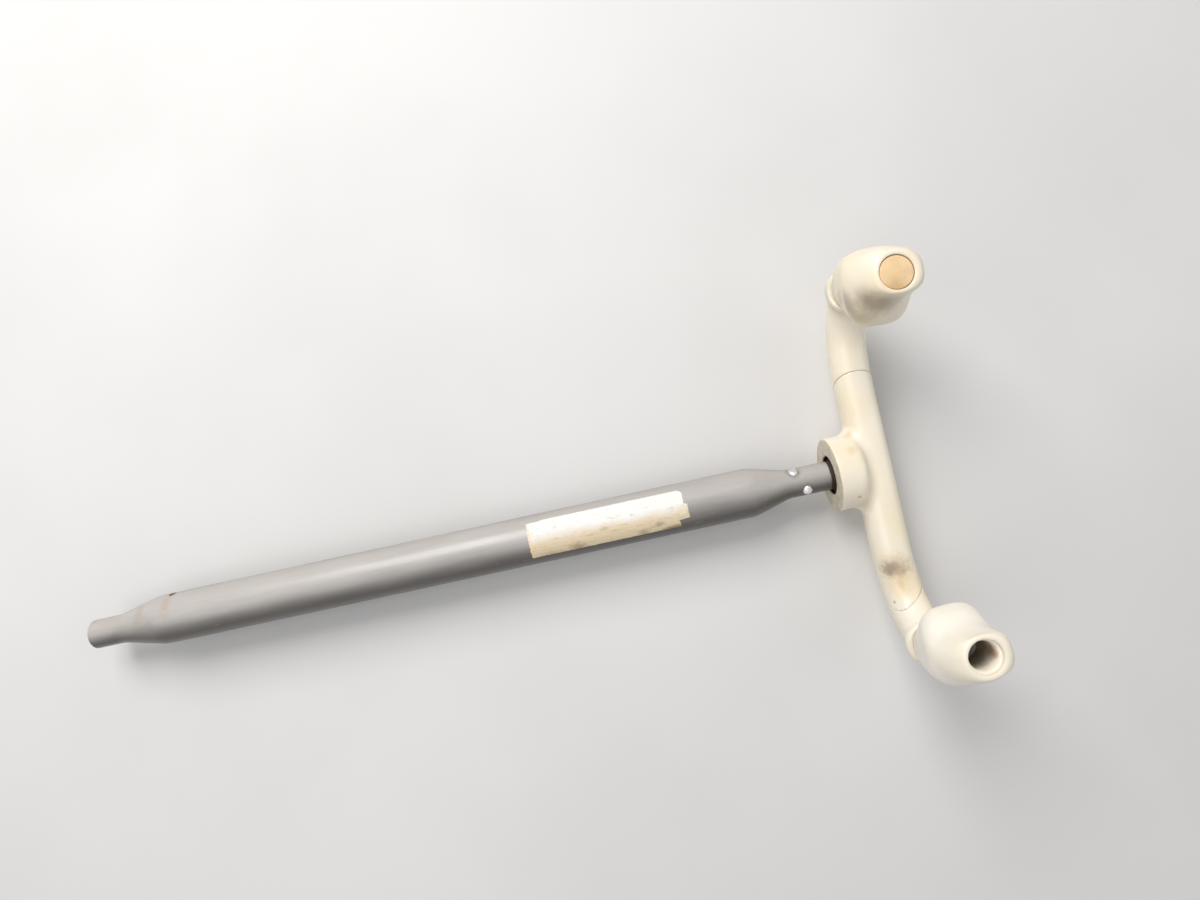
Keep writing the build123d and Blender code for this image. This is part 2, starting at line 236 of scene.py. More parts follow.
def turned(name: str, profile: Profile, centre: Vector, axis: Vector,
           count: int = 64, loop: bool = False, smooth: float = SMOOTH_ANGLE) -> Piece:
    """A round piece pulled along its axis from a profile.

    Args:
        name: The piece's name.
        profile: Places along the axis and radii, in millimetres.
        centre: The axis's zero point in millimetres.
        axis: The axis's unit direction.
        count: Points round each ring.
        loop: True if the profile closes on itself, as a tube's does.
        smooth: The angle in degrees under which edges are shaded smooth.

    Returns:
        The finished piece.
    """
    start, first = profile[0]
    deselect_all()
    bpy.ops.mesh.primitive_circle_add(vertices=count, radius=first * MM, fill_type="NOTHING",
                                      location=(centre + axis * start) * MM,
                                      rotation=axis.to_track_quat("Z", "Y").to_euler())
    piece = bpy.context.active_object
    bpy.ops.object.transform_apply(location=True, rotation=True, scale=True)
    skin = Skin(name, piece)
    for (near, small), (far, large) in zip(profile, profile[1:]):
        bpy.ops.mesh.extrude_region_move(TRANSFORM_OT_translate={"value": axis * (far - near) * MM})
        bpy.ops.transform.resize(value=(large / small,) * 3,
                                 center_override=(centre + axis * far) * MM)
    if loop:
        skin.join_ends()
    else:
        skin.fill()
        skin.fill_start()
    return skin.finish(smooth)


def modify(piece: Piece, kind: str, **settings: object) -> None:
    """Adds a modifier to the active piece and applies it.

    Args:
        piece: The active piece.
        kind: The modifier's type.
        settings: The modifier's properties.
    """
    bpy.ops.object.modifier_add(type=kind)
    step = piece.modifiers[-1]
    for key, value in settings.items():
        setattr(step, key, value)
    bpy.ops.object.modifier_apply(modifier=step.name)


def cut(piece: Piece, cutter: Piece) -> None:
    """Cuts one piece out of another and removes the cutter.

    Args:
        piece: The piece that keeps its place.
        cutter: The piece whose space is taken away.
    """
    take(piece)
    modify(piece, "BOOLEAN", operation="DIFFERENCE", solver="EXACT", object=cutter)
    bpy.data.objects.remove(cutter)


def smoothed_copy(node: str, name: str, voxel: float, rounds: int) -> Piece:
    """A copy of a CAD node with an even skin and softened edges.

    Args:
        node: The CAD node.
        name: The piece's name.
        voxel: The size of the skin's cells in millimetres.
        rounds: How many times the skin is relaxed.

    Returns:
        The finished piece.
    """
    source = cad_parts[node]
    mesh = source.data.copy()
    mesh.name = name
    mesh.materials.clear()
    piece = bpy.data.objects.new(name, mesh)
    bpy.context.scene.collection.objects.link(piece)
    take(piece)
    bpy.ops.object.mode_set(mode="EDIT")
    bpy.ops.mesh.select_all(action="SELECT")
    bpy.ops.mesh.remove_doubles(threshold=MM * 0.01)
    bpy.ops.object.mode_set(mode="OBJECT")
    modify(piece, "REMESH", mode="VOXEL", voxel_size=voxel * MM)
    modify(piece, "SMOOTH", factor=0.5, iterations=rounds)
    bpy.ops.object.shade_smooth_by_angle(angle=radians(50))
    return piece


def twin(piece: Piece, name: str) -> Piece:
    """The mirror image of a piece on the other side, with its own mesh.

    Args:
        piece: The right-hand piece.
        name: The twin's name.

    Returns:
        The left-hand piece.
    """
    other = bpy.data.objects.new(name, piece.data.copy())
    other.data.name = name
    bpy.context.scene.collection.objects.link(other)
    other.data.transform(Matrix.Scale(-1, 4, Vector((1, 0, 0))))
    other.data.flip_normals()
    return other


class Bench:
    """Lays out and joins the nodes of one material or node group."""

    def __init__(self, tree: bpy.types.NodeTree) -> None:
        """Starts on a tree.

        Args:
            tree: The node tree to fill.
        """
        self.tree = tree

    def add(self, kind: str, **settings: object) -> bpy.types.Node:
        """Adds a node.

        Args:
            kind: The node's type.
            settings: The node's properties.

        Returns:
            The node.
        """
        node = self.tree.nodes.new(kind)
        for key, value in settings.items():
            setattr(node, key, value)
        return node

    def join(self, value: object, socket: Socket) -> None:
        """Feeds a socket from another socket or sets it to a constant.

        Args:
            value: A socket, a number, a vector or a colour without its alpha.
            socket: The input to feed.
        """
        if isinstance(value, Socket):
            self.tree.links.new(value, socket)
        elif isinstance(value, tuple) and len(value) == 3 and socket.type == "RGBA":
            socket.default_value = (*value, 1)
        else:
            socket.default_value = value

    def _wired(self, node: bpy.types.Node, values: tuple[object, ...]) -> bpy.types.Node:
        """Feeds a node's first inputs in order.

        Args:
            node: The node.
            values: Sockets or constants.

        Returns:
            The same node.
        """
        for value, socket in zip(values, node.inputs):
            self.join(value, socket)
        return node

    def math(self, operation: str, *values: object) -> Socket:
        """Works on numbers with one math node."""
        return self._wired(self.add("ShaderNodeMath", operation=operation), values).outputs[0]

    def times(self, first: object, *others: object) -> Socket:
        """Multiplies numbers one after the other.

        Args:
            first: The first factor.
            others: The other factors, in order.

        Returns:
            The product.
        """
        for other in others:
            first = self.math("MULTIPLY", first, other)
        return first

    def vector(self, operation: str, *values: object) -> Socket:
        """Works on vectors with one vector math node.

        Args:
            operation: The node's operation.
            values: Vectors, in the node's order.

        Returns:
            The number of a length or dot product, or else the vector.
        """
        node = self._wired(self.add("ShaderNodeVectorMath", operation=operation), values)
        return node.outputs["Value" if operation in ("LENGTH", "DOT_PRODUCT") else "Vector"]

    def distance(self, place: object, centre: object, scale: object) -> Socket:
        """How far places lie from a centre once each axis is scaled.

        Args:
            place: The places.
            centre: The centre.
            scale: The scale along each axis, 0 to leave an axis out.

        Returns:
            The distance.
        """
        apart = self.vector("SUBTRACT", place, centre)
        return self.vector("LENGTH", self.vector("MULTIPLY", apart, scale))

    def part(self, place: Socket, axis: str) -> Socket:
        """One coordinate of some places."""
        return self._wired(self.add("ShaderNodeSeparateXYZ"), (place,)).outputs[axis]

    def span(self, value: object, low: float, high: float, start: float = 0.0,
             end: float = 1.0) -> Socket:
        """Maps a value from one range smoothly onto another.

        Args:
            value: The value.
            low: The value that gives the start.
            high: The value that gives the end.
            start: The result at low.
            end: The result at high.

        Returns:
            The result, which stays between start and end.
        """
        node = self.add("ShaderNodeMapRange", interpolation_type="SMOOTHSTEP")
        return self._wired(node, (value, low, high, start, end)).outputs[0]

    def blend(self, share: object, first: object, second: object) -> Socket:
        """Mixes two colours.

        Args:
            share: The second colour's share.
            first: The first colour.
            second: The second colour.

        Returns:
            The mixed colour.
        """
        node = self.add("ShaderNodeMix", data_type="RGBA")
        for value, index in ((share, 0), (first, 6), (second, 7)):
            self.join(value, node.inputs[index])
        return node.outputs[2]

    def mix_shaders(self, share: object, first: Socket, second: Socket) -> Socket:
        """Mixes two shaders by the second one's share."""
        return self._wired(self.add("ShaderNodeMixShader"), (share, first, second)).outputs[0]

    def clouds(self, place: object, size: float, detail: float = 3.0,
               rough: float = 0.55) -> Socket:
        """Soft noise.

        Args:
            place: The places.
            size: The size of its features in millimetres.
            detail: How many finer layers it has.
            rough: How strong the finer layers are.

        Returns:
            The noise, mostly between 0.3 and 0.7.
        """
        node = self.add("ShaderNodeTexNoise")
        for key, value in (("Vector", place), ("Scale", 1 / (size * MM)), ("Detail", detail),
                           ("Roughness", rough)):
            self.join(value, node.inputs[key])
        return node.outputs["Fac"]

    def stretched(self, place: object, scale: Triple) -> Socket:
        """Scales places about the origin.

        Args:
            place: The places.
            scale: The scale along each axis.

        Returns:
            The scaled places.
        """
        node = self.add("ShaderNodeMapping", vector_type="POINT")
        self.join(place, node.inputs["Vector"])
        self.join(scale, node.inputs["Scale"])
        return node.outputs[0]

    def group(self, tree: bpy.types.NodeTree, **values: object) -> bpy.types.Node:
        """Places a node group.

        Args:
            tree: The group.
            values: Its inputs.

        Returns:
            The group's node.
        """
        node = self.add("ShaderNodeGroup")
        node.node_tree = tree
        for key, value in values.items():
            self.join(value, node.inputs[key])
        return node

    def soil(self, tree: bpy.types.NodeTree, colour: object, overlay: Triple,
             **values: object) -> Socket:
        """Lays a colour where a group's mask says."""
        return self.blend(self.group(tree, **values).outputs[0], colour, overlay)


def new_group(name: str, ins: dict[str, Triple | float | None], outs: tuple[str, ...]) -> tuple:
    """An empty node group with named sockets.

    Args:
        name: The group's name.
        ins: Each input's default: a number, a vector, or None for a vector without one.
        outs: The names of the outputs, which are numbers.

    Returns:
        The tree, its bench, the sockets that it is given and the ones to be made.
    """
    tree = bpy.data.node_groups.new(name, "ShaderNodeTree")
    for key, start in ins.items():
        kind = "NodeSocketFloat" if isinstance(start, float) else "NodeSocketVector"
        socket = tree.interface.new_socket(key, in_out="INPUT", socket_type=kind)
        if start is not None:
            socket.default_value = start
    for key in outs:
        tree.interface.new_socket(key, in_out="OUTPUT", socket_type="NodeSocketFloat")
    bench = Bench(tree)
    return (tree, bench, bench.add("NodeGroupInput").outputs,
            bench.add("NodeGroupOutput").inputs)


class Effects:
    """The node groups that several finishes share."""

    def __init__(self) -> None:
        """Builds every group once."""
        self.blotch = self._blotch()
        self.specks = self._specks()
        self.scratches = self._scratches()
        self.film = self._film()
        self.bore = self._bore()

    def _blotch(self) -> bpy.types.NodeTree:
        """A soft ragged spot round a centre.

        Returns:
            The node group.
        """
        tree, bench, given, made = new_group(
            "blotch", {"Place": None, "Centre": None, "Squeeze": (1, 1, 1), "Reach": 0.01,
                       "Ragged": 0.5}, ("Mask",))
        far = bench.distance(given["Place"], given["Centre"], given["Squeeze"])
        share = bench.math("DIVIDE", far, given["Reach"])
        rough = bench.math("MULTIPLY_ADD", bench.clouds(given["Place"], 4, 4, 0.65), 2.0, -1.0)
        total = bench.math("ADD", share, bench.times(rough, given["Ragged"]))
        bench.join(bench.span(total, 1.0, 0.15), made["Mask"])
        return tree

    def _specks(self) -> bpy.types.NodeTree:
        """Scattered fine dirt.

        Returns:
            The node group.
        """
        tree, bench, given, made = new_group("specks", {"Place": None, "Amount": 0.5}, ("Mask",))
        cells = bench.add("ShaderNodeTexVoronoi", feature="F1")
        for key, value in (("Vector", given["Place"]), ("Scale", 1 / (3.2 * MM)),
                           ("Randomness", 1)):
            bench.join(value, cells.inputs[key])
        size = bench.times(bench.clouds(given["Place"], 11, 2), 0.2)
        near = bench.math("SUBTRACT", size, cells.outputs["Distance"])
        bench.join(bench.times(bench.span(near, 0.0, 0.05), given["Amount"]), made["Mask"])
        return tree

    def _scratches(self) -> bpy.types.NodeTree:
        """Fine lines left by years of handling.

        Returns:
            The node group.
        """
        tree, bench, given, made = new_group(
            "scratches", {"Place": None, "Stretch": (1, 1, 1), "Amount": 0.5}, ("Mask",))
        lines = bench.clouds(bench.vector("MULTIPLY", given["Place"], given["Stretch"]), 2.6, 1)
        gap = bench.math("ABSOLUTE", bench.math("SUBTRACT", lines, 0.5))
        mask = bench.span(gap, 0.012, 0.0)
        patch = bench.span(bench.clouds(given["Place"], 24, 2), 0.5, 0.68)
        bench.join(bench.times(mask, patch, given["Amount"]), made["Mask"])
        return tree

    def _bore(self) -> bpy.types.NodeTree:
        """What lies within a radius of an axis, such as the wall of a socket.

        Returns:
            The node group.
        """
        tree, bench, given, made = new_group(
            "bore", {"Place": None, "Centre": None, "Across": (1, 1, 0), "Radius": 0.01},
            ("Mask",))
        far = bench.distance(given["Place"], given["Centre"], given["Across"])
        depth = bench.math("SUBTRACT", given["Radius"], far)
        bench.join(bench.span(depth, -0.2 * MM, 0.2 * MM), made["Mask"])
        return tree

    def _film(self) -> bpy.types.NodeTree:
        """Uneven ageing: a broad cloud and a fine grain for the surface's height.

        Returns:
            The node group.
        """
        tree, bench, given, made = new_group("film", {"Place": None}, ("Cloud", "Grain"))
        cloud = bench.clouds(given["Place"], 38, 1.2, 0.5)
        bench.join(bench.span(cloud, 0.3, 0.7), made["Cloud"])
        coarse = bench.clouds(given["Place"], 1.4, 3, 0.5)
        fine = bench.clouds(given["Place"], 0.35, 2, 0.5)
        bench.join(bench.math("ADD", coarse, bench.times(fine, 0.4)), made["Grain"])
        return tree


def start_material(name: str) -> tuple[bpy.types.Material, Bench, bpy.types.Node, Socket]:
    """An empty material with a Principled shader.

    Args:
        name: The material's name.

    Returns:
        The material, its bench, the shader and the Object coordinates.
    """
    material = bpy.data.materials.new(name)
    material.use_nodes = True
    material.node_tree.nodes.clear()
    bench = Bench(material.node_tree)
    shader = bench.add("ShaderNodeBsdfPrincipled")
    out = bench.add("ShaderNodeOutputMaterial")
    bench.join(shader.outputs[0], out.inputs["Surface"])
    place = bench.add("ShaderNodeTexCoord").outputs["Object"]
    return material, bench, shader, place


def add_bump(bench: Bench, shader: bpy.types.Node, height: object, depth: float,
             strength: float = 1.0) -> None:
    """Feeds a shader's normal from a height.

    Args:
        bench: The material's bench.
        shader: The Principled shader.
        height: The height socket.
        depth: The depth of the relief in millimetres.
        strength: The share of the relief that shows.
    """
    bump = bench.add("ShaderNodeBump")
    bump.inputs["Distance"].default_value = depth * MM
    bump.inputs["Strength"].default_value = strength
    bench.join(height, bump.inputs["Height"])
    bench.join(bump.outputs[0], shader.inputs["Normal"])


@dataclass(frozen=True)
class Spot:
    """One stain, or one patch of painted shade, at a place on the skin, in millimetres."""

    centre: Triple
    reach: float
    colour: Triple
    share: float
    squeeze: Triple = (1.0, 1.0, 1.0)
    ragged: float = 0.5


@dataclass(frozen=True)
class GrimyShadedHole:
    """A hole whose wall is painted darker with depth, in millimetres: grime and painted shade."""

    centre: Triple
    radius: float
    along: Triple
    pale_at: float
    dark_at: float
    floor_at: float
    colour: Triple
    share: float = 0.9

    def lay(self, bench: Bench, effects: Effects, place: Socket,
            colour: Socket) -> Socket:
        """Darkens the hole's wall from its mouth inwards.

        Args:
            bench: The material's bench.
            effects: The shared node groups.
            place: The Object coordinates.
            colour: The colour so far.

        Returns:
            The colour with the hole's wall darkened.
        """
        across = tuple(1.0 - abs(a) for a in self.along)
        hole = bench.group(effects.bore, Place=place, Centre=tuple(c * MM for c in self.centre),
                           Across=across, Radius=self.radius * MM)
        depth = bench.vector("DOT_PRODUCT", place, self.along)
        swing = bench.times(bench.clouds(place, 5, 4, 0.65), 8 * MM)
        dark = bench.span(bench.math("ADD", depth, swing), (self.pale_at + 4) * MM,
                          (self.dark_at + 4) * MM)
        above = bench.span(depth, (self.floor_at - 1) * MM, self.floor_at * MM)
        share = bench.times(hole.outputs[0], dark, above, self.share)
        return bench.blend(share, colour, self.colour)


def stained(bench: Bench, effects: Effects, place: Socket,
            colour: Socket, stains: tuple[Spot, ...]) -> Socket:
    """Lays stains, and patches of painted shade, over a colour.

    Args:
        bench: The material's bench.
        effects: The shared node groups.
        place: The Object coordinates.
        colour: The colour so far.
        stains: The stains, first to last.

    Returns:
        The stained colour.
    """
    for stain in stains:
        spot = bench.group(effects.blotch, Place=place, Centre=tuple(c * MM for c in stain.centre),
                           Squeeze=stain.squeeze, Reach=stain.reach * MM, Ragged=stain.ragged)
        share = bench.times(spot.outputs[0], stain.share)
        colour = bench.blend(share, colour, stain.colour)
    return colour


@dataclass(frozen=True)
class PaintedMoulding:
    """Ivory enamel or moulded plastic, yellowed and handled, with its own stains and painted shade
    in its hollows.
    """

    name: str
    fresh: Triple
    aged: Triple
    roughness: float
    stains: tuple[Spot, ...] = ()
    machined_face: float | None = None
    grime: float = 0.35
    holes: tuple[GrimyShadedHole, ...] = ()
    rubbed_along: Triple = (0.06, 1.0, 1.0)

    def make(self, effects: Effects) -> bpy.types.Material:
        """Builds the material.

        Args:
            effects: The shared node groups.

        Returns:
            The material.
        """
        material, bench, shader, place = start_material(self.name)
        film = bench.group(effects.film, Place=place)
        colour = bench.blend(film.outputs["Cloud"], self.fresh, self.aged)
        yellow = bench.span(bench.clouds(place, 75, 2), 0.45, 0.7, 0.0, 0.55)
        yellowed = tuple(c * k for c, k in zip(self.aged, (0.95, 0.88, 0.72)))
        colour = bench.blend(yellow, colour, yellowed)
        colour = bench.soil(effects.specks, colour, (0.30, 0.22, 0.13), Place=place,
                            Amount=self.grime)
        colour = bench.soil(effects.scratches, colour, (0.42, 0.34, 0.22), Place=place,
                            Stretch=self.rubbed_along, Amount=0.08)
        # Grime and painted shade: the ivory turns brown in creases, hollows and joins between
        # parts, where ambient occlusion finds them closed in.
        grime_and_shade_ao = bench.add("ShaderNodeAmbientOcclusion", samples=16)
        grime_and_shade_ao.inputs["Distance"].default_value = 2.0 * MM
        overlay = bench.times(bench.span(grime_and_shade_ao.outputs["AO"], 0.66, 0.2), 0.75)
        colour = bench.blend(overlay, colour, (0.20, 0.15, 0.075))
        colour = stained(bench, effects, place, colour, self.stains)
        rough = bench.span(film.outputs["Cloud"], 0.0, 1.0, self.roughness - 0.01,
                           self.roughness + 0.03)
        if self.machined_face is not None:
            rear = bench.span(bench.part(place, "Y"), (self.machined_face - 0.9) * MM,
                              (self.machined_face - 0.25) * MM)
            worn = bench.blend(bench.span(bench.clouds(place, 5, 4), 0.4, 0.65),
                               (0.63, 0.575, 0.455), (0.52, 0.455, 0.345))
            colour = bench.blend(rear, colour, worn)
            rough = bench.math("MAXIMUM", rough, bench.times(rear, 0.62))
        for hole in self.holes:
            colour = hole.lay(bench, effects, place, colour)
        bench.join(colour, shader.inputs["Base Color"])
        bench.join(rough, shader.inputs["Roughness"])
        shader.inputs["Specular IOR Level"].default_value = 0.45
        shader.inputs["Coat Weight"].default_value = 0.12
        shader.inputs["Coat Roughness"].default_value = 0.25
        add_bump(bench, shader, film.outputs["Grain"], 0.03, 0.6)
        return material


@dataclass(frozen=True)
class TubePaint:
    """Warm grey satin paint on drawn steel tube, with painted light and shade across it."""

    name: str
    shell: Triple
    dull: Triple
    painted_light_tone: Triple
    roughness: float
    painted_light_side: Triple
    neck_ring: float
    stains: tuple[Spot, ...] = ()

    def make(self, effects: Effects) -> bpy.types.Material:
        """Builds the material.

        Args:
            effects: The shared node groups.

        Returns:
            The material.
        """
        material, bench, shader, place = start_material(self.name)
        along = bench.stretched(place, (1.0, 0.25, 1.0))
        film = bench.group(effects.film, Place=along)
        colour = bench.blend(film.outputs["Cloud"], self.shell, self.dull)
        # Painted light: the tube runs from its dark shell tone to a pale tone on the side that
        # faces the key lamp, standing in for light and shade.
        outward = bench.vector("NORMALIZE", bench.vector("MULTIPLY", place, (1.0, 0.0, 1.0)))
        side = bench.vector("DOT_PRODUCT", outward, self.painted_light_side)
        swing = bench.times(bench.clouds(along, 14, 2, 0.5), 0.3)
        painted_light = bench.span(bench.math("ADD", side, swing), 0.32, 1.28)
        colour = bench.blend(bench.times(painted_light, 0.85), colour, self.painted_light_tone)
        streaks = bench.clouds(bench.stretched(place, (1.0, 0.05, 1.0)), 1.6, 4, 0.6)
        colour = bench.blend(bench.span(streaks, 0.42, 0.72, 0.0, 0.07), colour,
                             tuple(c * 0.62 for c in self.dull))
        colour = bench.soil(effects.specks, colour, (0.17, 0.15, 0.13), Place=place, Amount=0.35)
        colour = bench.soil(effects.scratches, colour, (0.62, 0.60, 0.57), Place=place,
                            Stretch=(1.0, 0.06, 1.0), Amount=0.2)
        colour = stained(bench, effects, place, colour, self.stains)
        swing = bench.times(bench.clouds(place, 3, 3), 1.6 * MM)
        ring = bench.span(bench.math("ADD", bench.part(place, "Y"), swing),
                          (self.neck_ring + 1.3) * MM, (self.neck_ring + 0.3) * MM)
        colour = bench.blend(bench.times(ring, 0.95), colour, (0.022, 0.007, 0.003))
        rough = bench.span(bench.clouds(along, 18, 4), 0.3, 0.7, self.roughness - 0.06,
                           self.roughness + 0.07)
        rough = bench.math("MAXIMUM", rough, bench.times(ring, 0.85))
        bench.join(colour, shader.inputs["Base Color"])
        bench.join(bench.span(ring, 0.0, 0.5, 0.2, 0.0), shader.inputs["Coat Weight"])
        bench.join(rough, shader.inputs["Roughness"])
        shader.inputs["Specular IOR Level"].default_value = 0.5
        shader.inputs["Coat Roughness"].default_value = 0.2
        add_bump(bench, shader, film.outputs["Grain"], 0.04, 0.7)
        return material


@dataclass(frozen=True)
class BareMetal:
    """Bare or plated metal with a turned grain and dull patches."""

    name: str
    bright: Triple
    dull: Triple
    roughness: float
    grain: Triple = (1.0, 1.0, 1.0)

    def make(self, effects: Effects) -> bpy.types.Material:
        """Builds the material.

        Args:
            effects: The shared node groups.

        Returns:
            The material.
        """
        material, bench, shader, place = start_material(self.name)
        patch = bench.span(bench.clouds(place, 2.5, 4), 0.35, 0.68)
        colour = bench.blend(patch, self.bright, self.dull)
        colour = bench.soil(effects.specks, colour, (0.12, 0.09, 0.06), Place=place, Amount=0.4)
        bench.join(colour, shader.inputs["Base Color"])
        rough = bench.span(patch, 0.0, 1.0, self.roughness, self.roughness + 0.2)
        bench.join(rough, shader.inputs["Roughness"])
        shader.inputs["Metallic"].default_value = 1.0
        lines = bench.clouds(bench.stretched(place, self.grain), 0.5, 2)
        add_bump(bench, shader, lines, 0.02, 0.5)
        return material


@dataclass(frozen=True)
class PlainMoulding:
    """A small moulded piece in one colour that age has made uneven."""

    name: str
    colour: Triple
    shade: Triple
    roughness: float
    depth: float = 0.0
    stains: tuple[Spot, ...] = ()

    def make(self, effects: Effects) -> bpy.types.Material:
        """Builds the material.

        Args:
            effects: The shared node groups.

        Returns:
            The material.
        """
        material, bench, shader, place = start_material(self.name)
        film = bench.group(effects.film, Place=place)
        cloud = bench.span(bench.clouds(place, 9, 4, 0.6), 0.32, 0.68)
        colour = bench.blend(cloud, self.colour, self.shade)
        colour = bench.soil(effects.specks, colour, tuple(c * 0.45 for c in self.shade),
                            Place=place, Amount=0.3)
        colour = stained(bench, effects, place, colour, self.stains)
        bench.join(colour, shader.inputs["Base Color"])
        bench.join(bench.span(cloud, 0.0, 1.0, self.roughness, self.roughness + 0.12),
                   shader.inputs["Roughness"])
        if self.depth:
            shader.inputs["Subsurface Weight"].default_value = 0.25
            shader.inputs["Subsurface Radius"].default_value = (1.0, 0.6, 0.3)
            shader.inputs["Subsurface Scale"].default_value = self.depth * MM
        add_bump(bench, shader, film.outputs["Grain"], 0.03, 0.5)
        return material


@dataclass(frozen=True)
class AgedPaper:
    """A bare paper label, yellowed and stained, with the fibres of the sheet."""

    name: str
    clean: Triple
    yellowed: Triple
    stains: tuple[Spot, ...] = ()

    def make(self, effects: Effects) -> bpy.types.Material:
        """Builds the material.

        Args:
            effects: The shared node groups.

        Returns:
            The material.
        """
        material, bench, shader, place = start_material(self.name)
        ragged = bench.clouds(bench.stretched(place, (1.0, 0.5, 1.0)), 9, 5, 0.65)
        height = bench.math("ADD", bench.part(place, "X"), bench.times(ragged, 16 * MM))
        colour = bench.blend(bench.span(height, 13 * MM, 3 * MM), self.clean, self.yellowed)
        blots = bench.clouds(bench.stretched(place, (1.0, 0.45, 1.0)), 4, 6, 0.75)
        blot = bench.times(bench.span(blots, 0.55, 0.72), 0.5)
        colour = bench.blend(blot, colour, (0.45, 0.34, 0.20))
        rubs = bench.clouds(bench.stretched(place, (1.0, 0.16, 1.0)), 1.5, 4, 0.7)
        rubbed = bench.times(bench.span(rubs, 0.52, 0.68),
                             bench.span(height, 12 * MM, -2 * MM, 0.08, 0.5))
        colour = bench.blend(rubbed, colour, (0.40, 0.31, 0.20))
        colour = bench.soil(effects.specks, colour, (0.22, 0.16, 0.10), Place=place, Amount=0.6)
        colour = stained(bench, effects, place, colour, self.stains)
        bench.join(colour, shader.inputs["Base Color"])
        shader.inputs["Roughness"].default_value = 0.62
        shader.inputs["Specular IOR Level"].default_value = 0.3
        fibres = bench.clouds(bench.stretched(place, (1.0, 0.3, 1.0)), 0.8, 4, 0.6)
        add_bump(bench, shader, fibres, 0.08, 0.8)
        return material


